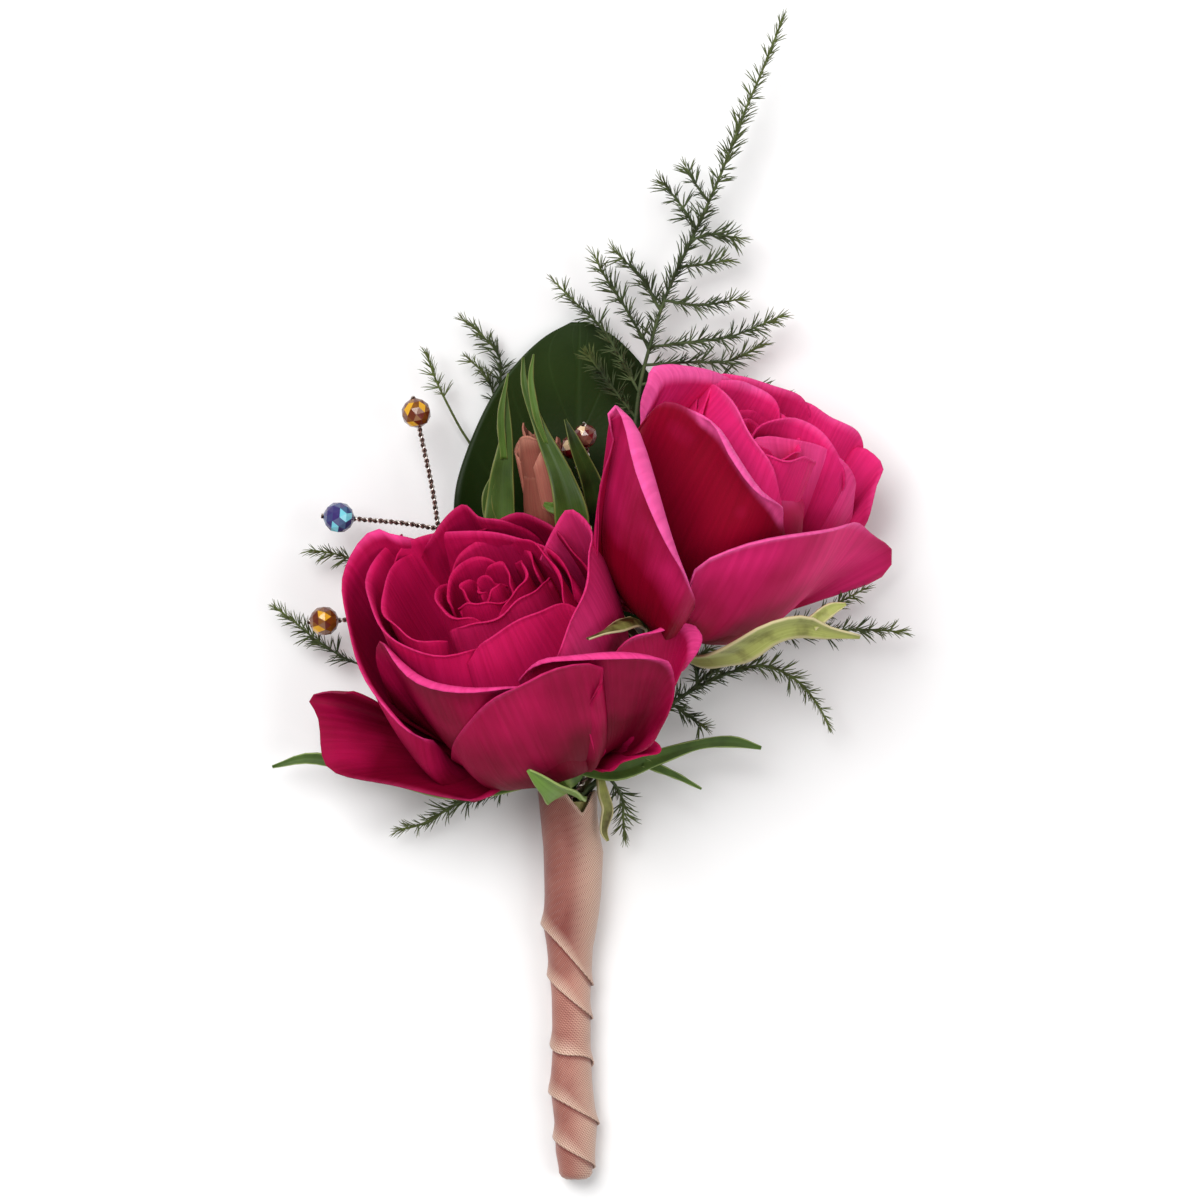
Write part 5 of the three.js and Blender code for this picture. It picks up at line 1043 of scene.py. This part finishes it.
# a round tube along curves: the radius is in millimetres times each point's own width
def sweepRound(tree, add, curves, radius, sides):
    profile = add("GeometryNodeCurvePrimitiveCircle", Resolution=sides, Radius=mm)
    width = add("GeometryNodeInputNamedAttribute", {"data_type": "FLOAT"}, Name="width")
    thick = mathNode(add, "MULTIPLY", width.outputs["Attribute"], radius)
    sized = add("GeometryNodeSetCurveRadius", Curve=curves, Radius=thick)
    swept = add("GeometryNodeCurveToMesh", Curve=sized.outputs[0], Profile_Curve=profile.outputs["Curve"],
                Fill_Caps=True)
    if "Scale" in swept.inputs:
        tree.links.new(thick, swept.inputs["Scale"])
    return swept.outputs[0]


def finishTree(tree, add, out, parts, material):
    whole = add("GeometryNodeJoinGeometry")
    for part in parts:
        tree.links.new(part, whole.inputs[0])
    real = add("GeometryNodeRealizeInstances", Geometry=whole.outputs[0])
    last = real.outputs[0]
    if material:
        last = add("GeometryNodeSetMaterial", Geometry=last, Material=material).outputs[0]
    tree.links.new(last, out.inputs[0])


# lines of edges that a tree turns into curves; each point knows how far along it is and how wide the stem is
def lineObject(name, lines):
    points, edges, facts = [], [], {"share": [], "width": [], "leafy": []}
    for line in lines:
        start, count = len(points), len(line["points"])
        points += [list(np.array(p[:3]) * mm) for p in line["points"]]
        edges += [(start + i, start + i + 1) for i in range(count - 1)]
        shares = np.linspace(0, 1, count)
        facts["share"] += list(shares)
        facts["width"] += list(readAlong(line.get("width", [1, 1]), shares))
        facts["leafy"] += list(shares - line.get("bare", 0))
    mesh = bpy.data.meshes.new(name)
    mesh.from_pydata(points, edges, [])
    for fact, values in facts.items():
        mesh.attributes.new(fact, "FLOAT", "POINT").data.foreach_set("value", np.array(values, float))
    return addObject(name, mesh)


def fernLines(spray):
    stem, *sides = spray["branches"]
    whole = fromHandle(spray["slot"], stem["path"])
    bareShare = 1 - (1 - stem["bare"]) * pathLength(stem["path"]) / pathLength(whole)
    lines = [{"points": throughPoints(whole, 120), "bare": bareShare, "width": [1.5, 1.3, 0.6]}]
    for side in sides:
        lines.append({"points": throughPoints(side["path"], 40), "bare": side.get("bare", 0.06),
                      "width": [1.0, 0.5]})
    return lines


def fernMaterial():
    material, shader, add, links = newMaterial("fern_green", Roughness=0.6, Specular_IOR_Level=0.2)
    places = add("ShaderNodeTexCoord")
    tones = placeGroup(add, cloudTones, Vector=places.outputs["Object"], Scale=260.0, Dark=fern["dark"],
                       Light=fern["light"], Contrast=2.0, Grain=2600.0)
    share = add("ShaderNodeAttribute", {"attribute_name": "share"})
    young = rangeNode(add, share.outputs["Fac"], (0.7, 1.0), (0.0, 0.5))
    blend = mixNode(add, young, tones.outputs["Color"], fern["tip"])
    links.new(blend, shader.inputs["Base Color"])
    addBump(add, links, shader, tones.outputs["Height"], 0.2, 0.05)
    return material


fernGreen = fernMaterial()
tuft = makeTuft()
fernTree = makeFernTree(tuft, fernGreen)
for nodeName, spray in sprays.items():
    lines = lineObject(nodeName + "_spray", fernLines(spray))
    made = runTree(lines, fernTree, {
        "Needle Length": fern["needleLength"], "Needle Step": fern["needleStep"], "Spread": fern["spread"],
        "Floor": fern["floor"], "Stem Radius": fern["stemRadius"], "Seed": spray["seed"]})
    finishPiece(made, nodeName)
bpy.data.objects.remove(tuft)
print("ferns made")


# beads and their twisted wires
# a facet within this cosine of a spark is painted bright, as a painted glint; the others are no brighter than dull
beadCut = {"rows": 7, "facets": 10, "bore": 0.45, "sparkFrom": 0.93, "dull": 0.22}
beads = {
    # sparks are the directions of the facets that catch the light, which are painted as glints
    "bead_amber_high": {"at": [-24, 25.5, 9.6], "radius": 2.1, "from": [-21.8, 15, 8.2],
                        "sparks": [[-0.55, 0.25, 0.8], [0.45, 0.45, 0.77], [-0.2, -0.75, 0.6]]},
    "bead_violet": {"at": [-34.9, 10.8, 9.4], "radius": 2.2, "from": [-26, 10, 8.6],
                    "sparks": [[0.5, 0.15, 0.85], [-0.3, -0.75, 0.55]]},
    "bead_amber_low": {"at": [-37, -3.8, 9], "radius": 2.1, "from": [-28, -3.4, 8],
                       "sparks": [[-0.1, 0.45, 0.88], [-0.45, -0.65, 0.6]]},
    "bead_red_front": {"at": [-2, 20.7, 8.6], "radius": 1.7, "from": [-0.2, 14, 7.4],
                       "sparks": [[-0.45, 0.2, 0.87], [0.2, 0.05, 0.98]]},
    "bead_red_back": {"at": [-0.2, 22.2, 12.3], "radius": 1.7, "from": [0.6, 14, 8.6],
                      "sparks": [[-0.3, 0.6, 0.74]]},
}
beadGlass = {
    # the second colour of each glass is its painted glint
    "amber_bead": {"deep": sRgb(104, 36, 16), "paintedLight": sRgb(238, 178, 44)},
    "violet_bead": {"deep": sRgb(58, 40, 112), "paintedLight": sRgb(130, 224, 240)},
    "red_bead": {"deep": sRgb(104, 10, 20), "paintedLight": sRgb(246, 214, 170)},
}


def glassMaterial(name, look):
    material, shader, add, links = newMaterial(
        name, Roughness=0.08, Transmission_Weight=0.15, IOR=1.5, Coat_Weight=0.3, Coat_Roughness=0.03)
    tone = add("ShaderNodeAttribute", {"attribute_name": "tone"})
    # the tone mixes the glass colour toward its painted glint
    blend = mixNode(add, tone.outputs["Fac"], look["deep"], look["paintedLight"])
    links.new(blend, shader.inputs["Base Color"])
    return material


def beadAxis(bead):
    return unit(np.array(bead["at"]) - bead["from"])


# a cut glass bead with its bore along the wire; each facet has its own tone: a painted glint on the facets that face a
# spark, a small random tone on the others
def growBead(name, bead, glass):
    axis = beadAxis(bead)
    across = unit(np.cross(axis, [0, 0, 1]))
    other = np.cross(axis, across)
    radius, rows, sides = bead["radius"], beadCut["rows"], beadCut["facets"]
    start = math.asin(beadCut["bore"] / radius)
    rings = []
    for i, polar in enumerate(np.linspace(start, math.pi - start, rows)):
        turn = math.pi / sides * (i % 2)
        rings.append([np.array(bead["at"]) + axis * radius * math.cos(polar) + radius * math.sin(polar)
                      * (across * math.cos(a + turn) + other * math.sin(a + turn))
                      for a in np.linspace(0, 2 * math.pi, sides, endpoint=False)])
    draw = random.Random(name)
    points, faces, tones = [p for ring in rings for p in ring], [], []
    for i in range(rows):
        below = (i + 1) % rows
        for k in range(sides):
            n = (k + 1) % sides
            a, b, c, d = i * sides + k, i * sides + n, below * sides + n, below * sides + k
            inside = below == 0
            pair = [[a, d, b], [b, d, c]] if inside or i % 2 == 0 else [[a, d, c], [a, c, b]]
            faces += pair
            for face in pair:
                out = unit(sum(points[p] for p in face) / 3 - np.array(bead["at"]))
                lit = max(float(out @ unit(spark)) for spark in bead["sparks"])
                tones.append(0.0 if inside else 1.0 if lit > beadCut["sparkFrom"]
                             else beadCut["dull"] * draw.random() ** 2)
    mesh = bpy.data.meshes.new(name)
    mesh.from_pydata((np.array(points) * mm).tolist(), [], faces)
    mesh.attributes.new("tone", "FLOAT", "FACE").data.foreach_set("value", np.array(tones, float))
    made = addObject(name, mesh)
    dress(made, glass)
    return made


glasses = {slotName: glassMaterial(slotName + "_glass", look) for slotName, look in beadGlass.items()}
for nodeName, bead in beads.items():
    slotName = nodeName.split("_")[1] + "_bead"
    finishPiece(growBead(nodeName.replace("bead", "cut_bead"), bead, glasses[slotName]), nodeName)

wires = {
    # the two strands are the same wire: the first colour paints it lit, the second paints it in shade
    "strand": 0.2, "pitch": 1.5, "paintedLight": sRgb(222, 212, 204), "dark": sRgb(112, 90, 84),
    "neck": 1, "stop": 0.3,      # how far before a bead its wire is straight, and how far it goes on beyond
    "pairs": {
        "bead_wires_left": {
            "slot": "wireLeft",
            "trunk": [[-5.5, -22, 2.6], [-11.5, -11, 2], [-17, -3, 3.6], [-19.4, 4, 5.8], [-20.9, 9.2, 7.9]],
            "arms": [([-20.9, 9.2, 7.9], "bead_amber_high"), ([-20.9, 9.2, 7.9], "bead_violet"),
                     ([-18.2, 0.5, 4.7], "bead_amber_low")]},
        "bead_wires_centre": {
            "slot": "wireCentre",
            "trunk": [[0, -25.6, 6.9], [1.2, -20, 6.6], [1.6, -14, 6], [1.4, -6, 5.6], [1.2, 4, 6]],
            "arms": [([1.2, 4, 6], "bead_red_front"), ([1.2, 4, 6], "bead_red_back")]},
    },
}


# two strands that turn round each other along every line
def makeTwistTree(materials):
    tree = treeWith("twistedPair", [("Strand Radius", "Float", 0.17), ("Pitch", "Float", 1.5)])
    add = adder(tree)
    g = add("NodeGroupInput").outputs
    out = add("NodeGroupOutput")
    lines = add("GeometryNodeMeshToCurve", Mesh=g["Geometry"])
    step = mathNode(add, "MULTIPLY", g["Pitch"], mm / 10)
    fine = add("GeometryNodeResampleCurve", {"mode": "LENGTH"}, Curve=lines.outputs[0], Length=step)
    along = add("GeometryNodeSplineParameter")
    pitch = mathNode(add, "MULTIPLY", g["Pitch"], mm)
    turns = mathNode(add, "DIVIDE", along.outputs["Length"], pitch)
    angle = mathNode(add, "MULTIPLY", turns, 2 * math.pi)
    twisted = add("GeometryNodeSetCurveTilt", Curve=fine.outputs[0], Tilt=angle)
    even = add("GeometryNodeSetCurveRadius", Curve=twisted.outputs[0], Radius=1.0)
    radius = mathNode(add, "MULTIPLY", g["Strand Radius"], mm)
    strands = []
    for side, material in zip((1, -1), materials):
        ring = add("GeometryNodeCurvePrimitiveCircle", Resolution=6, Radius=radius)
        offset = mathNode(add, "MULTIPLY", radius, float(side))
        aside = add("ShaderNodeCombineXYZ", X=offset)
        moved = add("GeometryNodeSetPosition", Geometry=ring.outputs["Curve"], Offset=aside.outputs[0])
        strand = add("GeometryNodeCurveToMesh", Curve=even.outputs[0], Profile_Curve=moved.outputs[0],
                     Fill_Caps=True)
        colored = add("GeometryNodeSetMaterial", Geometry=strand.outputs[0], Material=material)
        strands.append(colored.outputs[0])
    finishTree(tree, add, out, strands, None)
    return tree


def wireMaterial(name, color, roughness):
    material, shader, add, links = newMaterial(name, Metallic=1.0, Roughness=roughness)
    places = add("ShaderNodeTexCoord")
    lighter = tuple(min(c * 1.4, 1) for c in color[:3]) + (1,)
    tones = placeGroup(add, cloudTones, Vector=places.outputs["Object"], Scale=900.0, Dark=color, Light=lighter,
                       Contrast=1.5, Grain=5000.0)
    paint(add, links, shader, tones, 0.2, 0.02)
    return material


# the same wire twice, one strand painted lit and one painted in shade
twistTree = makeTwistTree([wireMaterial("wire_bright", wires["paintedLight"], 0.3),
                           wireMaterial("wire_dark", wires["dark"], 0.4)])
for nodeName, pair in wires["pairs"].items():
    lines = [{"points": throughPoints(fromHandle(pair["slot"], pair["trunk"]), 160)}]
    for start, beadName in pair["arms"]:
        bead = beads[beadName]
        end = list(np.array(bead["at"]) + beadAxis(bead) * (bead["radius"] + wires["stop"]))
        neck = list(np.array(bead["at"]) - beadAxis(bead) * (bead["radius"] + wires["neck"]))
        lines.append({"points": throughPoints([start, bead["from"], neck, end], 80)})
    made = runTree(lineObject(nodeName + "_twist", lines), twistTree,
                   {"Strand Radius": wires["strand"], "Pitch": wires["pitch"]})
    finishPiece(made, nodeName)
print("beads and wires made")


# ribbon and tape
ribbon = {
    "flat": [22, 125], "thickness": 0.2,
    # depth below the mouth, how far the ribbon's middle lies to the right of the stems', its radius
    "outline": [[0, -0.4, 4.1], [4.4, -0.2, 3.9], [8, 0.35, 4.15], [14.7, 0.2, 3.9], [18.7, -0.2, 3.75],
                [21.5, -0.3, 3.2], [28.6, -0.2, 2.65], [36.4, -0.2, 2.6], [41.5, -0.3, 2.9], [47, 0.3, 2.9],
                [51, 0.2, 2.7], [53.9, 0.2, 2.2]],
    "edges": [23.1, 29.2, 37.1, 44.6, 51.1, 57.5, 60],   # where each turn's lower edge crosses the top side
    "slants": [3.1, 1.5, -1.2, 0.8, 0.6, 0, 0], "firstPitch": 6.1,
    "relief": 0.42, "rise": 2.4, "under": 2.5, "dip": 0.08,
    "wound": [-math.pi - 0.3, 10.6 * math.pi, 470],      # first and last angle of the winding, and its steps
    # the strip's rows: depths below its upper edge and above its lower one
    "nearEdge": [0, 0.5, 1.1, 1.8, 2.3, 2.5, 2.65, 2.9, 3.3], "farEdge": [2.6, 1.9, 1.3, 0.9, 0.55, 0.25, 0],
    "meanRadius": 3.4, "overMouth": 0.3,
    "notch": [3.2, 29, 34],                              # depth of the V, where it is and its half width in degrees
    "end": [[0, 53.9, 2.3], [0.6, 54.45, 1.95], [1.1, 54.75, 1.4], [2, 54.7, 0.8], [3, 54.5, 0.4], [4, 54.3, 0.12]],
    # deep is also the painted shadow under each lap; pale is the painted highlight on the edges and down the right
    # side
    "deep": sRgb(134, 56, 52), "body": sRgb(218, 160, 142), "pale": sRgb(250, 228, 204),
    "threads": 1.75, "fillThreads": 2.6, "threadSlant": 32,
    "tapeDark": sRgb(96, 92, 40), "tapeLight": sRgb(168, 160, 100),
}


def lowerEdge(turn):
    k = turn / (2 * math.pi)
    count = range(len(ribbon["edges"]))
    place = ribbon["edges"][0] + ribbon["firstPitch"] * k if k < 0 else np.interp(k, count, ribbon["edges"])
    return place + np.interp(k, count, ribbon["slants"]) * math.sin(turn)


# one strip wound down the handle: each turn's lower edge stands out over the next one, which runs under it
def growRibbon():
    outline, end = np.array(ribbon["outline"]), np.array(ribbon["end"])
    notch, notchAt, notchHalf = ribbon["notch"]
    grid, uvs, tones = [], [], []
    for turn in np.linspace(*ribbon["wound"]):
        lower, above = lowerEdge(turn), lowerEdge(turn - 2 * math.pi)
        away = abs(math.degrees(turn) - notchAt) / notchHalf
        mouth = notch * max(0, 1 - away) - ribbon["overMouth"]
        later = float(smoothStep(math.pi + 0.2, math.pi + 1, turn))
        upper = mouth + (max(above - ribbon["under"], 0) - mouth) * later
        near = [upper + depth for depth in ribbon["nearEdge"]]
        far = [lower - depth for depth in ribbon["farEdge"]]
        depths = near + list(np.linspace(near[-1], far[0], 9)[1:-1]) + far
        row, rowUv, rowTone = [], [], []
        for depth in np.maximum.accumulate(depths):
            radius = np.interp(depth, outline[:, 0], outline[:, 2])
            radius += ribbon["relief"] * max(0, 1 - (lower - depth) / ribbon["rise"]) ** 1.5
            radius -= ribbon["dip"] * max(0, min(above - depth, 4)) * later
            reach = depth
            if depth > end[0, 1]:
                reach, radius = (np.interp(depth - end[0, 1], end[:, 0], end[:, k]) for k in (1, 2))
            middle = onAxis(reach, np.interp(depth, outline[:, 0], outline[:, 1]))
            point = middle + radius * np.array([math.sin(turn), 0, math.cos(turn)])
            row.append([point[0], point[1], max(point[2], ribbon["thickness"] / 2 + 0.02)])
            rowUv.append([turn * ribbon["meanRadius"], lower - depth])
            # the tone paints light and shade: a painted highlight along each turn's lower edge and along the first
            # turn's upper edge beside the notch, and painted shadow just under the edge of the turn above
            foldHighlight = 0.8 * max(0, 1 - (lower - depth) / ribbon["rise"])
            shadowed = max(0, 1 - abs(depth - above - 0.25) / 0.6) * later
            mouthHighlight = max(0, 1 - (depth - mouth) / 1.2) * float(away < 1.5) * (1 - later)
            rowTone.append(max(foldHighlight, mouthHighlight) - shadowed)
        grid.append(row)
        uvs.append(rowUv)
        tones.append(rowTone)
    grid = np.array(grid)
    shape = Shape()
    shape.addGrid(grid, np.array(tones), uv=np.array(uvs))
    made = thicken(shape.toObject("ribbon_strip"), ribbon["thickness"])
    dress(made, satinMaterial())
    finishPiece(made, "ribbon_wrap")


# satin: fine threads across a shifting sheen and soft clouds of deeper red, darker towards the mouth; a painted
# highlight on the folded lower edges, on the mouth's edge beside the notch and down the right side, and painted shadow
# where one turn goes under another
def satinMaterial():
    material, shader, add, links = newMaterial("ribbon_satin", Roughness=0.42, Specular_IOR_Level=0.35,
                                               Sheen_Weight=0.12, Sheen_Roughness=0.4)
    places = add("ShaderNodeTexCoord")
    tone = add("ShaderNodeAttribute", {"attribute_name": "tone"})
    slanted = add("ShaderNodeMapping", Vector=places.outputs["UV"])
    slanted.inputs["Rotation"].default_value = (0.0, 0.0, math.radians(ribbon["threadSlant"]))
    weave = placeGroup(add, threadWeave, UV=slanted.outputs[0], Threads=ribbon["threads"],
                       Fill_Threads=ribbon["fillThreads"])
    tones = placeGroup(add, cloudTones, Vector=places.outputs["Object"], Scale=120.0, Dark=ribbon["deep"],
                       Light=ribbon["body"], Contrast=2.4, Grain=3000.0)
    lifted = mixNode(add, 0.3, tones.outputs["Color"], ribbon["body"])
    split = add("ShaderNodeSeparateXYZ", Vector=places.outputs["Object"])
    # painted reflection: the right side of the handle is painted paler
    side = rangeNode(add, split.outputs["X"], (-0.003, 0.0015), (0.0, 0.75), smooth=True)
    edge = mathNode(add, "MAXIMUM", side, tone.outputs["Fac"])
    light = mathNode(add, "MULTIPLY", edge, 0.9, clamp=True)
    upper = rangeNode(add, split.outputs["Y"], (-0.057, -0.047), (0.0, 0.45), smooth=True)
    topped = mixNode(add, upper, lifted, ribbon["deep"])
    pale = mixNode(add, light, topped, ribbon["pale"])
    # painted shadow where the tone is below 0, under the turn above
    under = mathNode(add, "MULTIPLY", tone.outputs["Fac"], -0.8, clamp=True)
    shaded = mixNode(add, under, pale, ribbon["deep"])
    gaps = mathNode(add, "MULTIPLY_ADD", weave.outputs["Mask"], -1.0, 1.0)
    woven = mixNode(add, gaps, shaded, (0.36, 0.2, 0.18, 1.0), "MULTIPLY")
    links.new(woven, shader.inputs["Base Color"])
    addBump(add, links, shader, weave.outputs["Height"], 0.35, 0.06)
    return material


def tapeMaterial():
    material, shader, add, links = newMaterial("tape_crepe", Roughness=0.6, Specular_IOR_Level=0.3)
    places = add("ShaderNodeTexCoord")
    tones = placeGroup(add, cloudTones, Vector=places.outputs["Object"], Scale=700.0, Dark=ribbon["tapeDark"],
                       Light=ribbon["tapeLight"], Contrast=3.0, Grain=4000.0)
    paint(add, links, shader, tones, 0.5, 0.08)
    return material


growRibbon()
dress(frame["nodes"]["floral_tape"], tapeMaterial())
print("ribbon made")


# floor, light and camera
studio = {
    "floorColor": (0.9, 0.9, 0.9, 1), "worldStrength": 0.3,
    # place, size and power of each soft light, and the point it faces
    "lights": [([-0.3, 0.35, 0.85], 0.6, 8.2), ([0.5, -0.1, 0.7], 0.5, 2.2), ([0.0, -0.6, 0.6], 0.5, 0.8)],
    "cameraAt": [1.89, -0.84, 1000], "lens": 211,
}

floorMesh = bpy.data.meshes.new("floor")
floorMesh.from_pydata([(-3, -3, 0), (3, -3, 0), (3, 3, 0), (-3, 3, 0)], [], [(0, 1, 2, 3)])
floor = addObject("floor", floorMesh)
dress(floor, newMaterial("pale_floor", Roughness=0.9, Base_Color=studio["floorColor"])[0])

for i, (place, size, power) in enumerate(studio["lights"]):
    lamp = bpy.data.lights.new("soft_light_%d" % (i + 1), "AREA")
    lamp.size, lamp.energy = size, power
    lampObject = addObject(lamp.name, lamp)
    lampObject.location = place
    lampObject.rotation_euler = (-Vector(place)).to_track_quat("-Z", "Y").to_euler()

world = scene.world or bpy.data.worlds.new("studio")
scene.world = world
world.use_nodes = True
world.node_tree.nodes["Background"].inputs["Color"].default_value = (1, 1, 1, 1)
world.node_tree.nodes["Background"].inputs["Strength"].default_value = studio["worldStrength"]
scene.view_settings.view_transform = "Standard"

camera = bpy.data.cameras.new("overhead_camera")
camera.lens, camera.sensor_width, camera.clip_end = studio["lens"], 36, 10
cameraObject = addObject("overhead_camera", camera)
cameraObject.location = [c * mm for c in studio["cameraAt"]]
scene.camera = cameraObject
print("studio made")
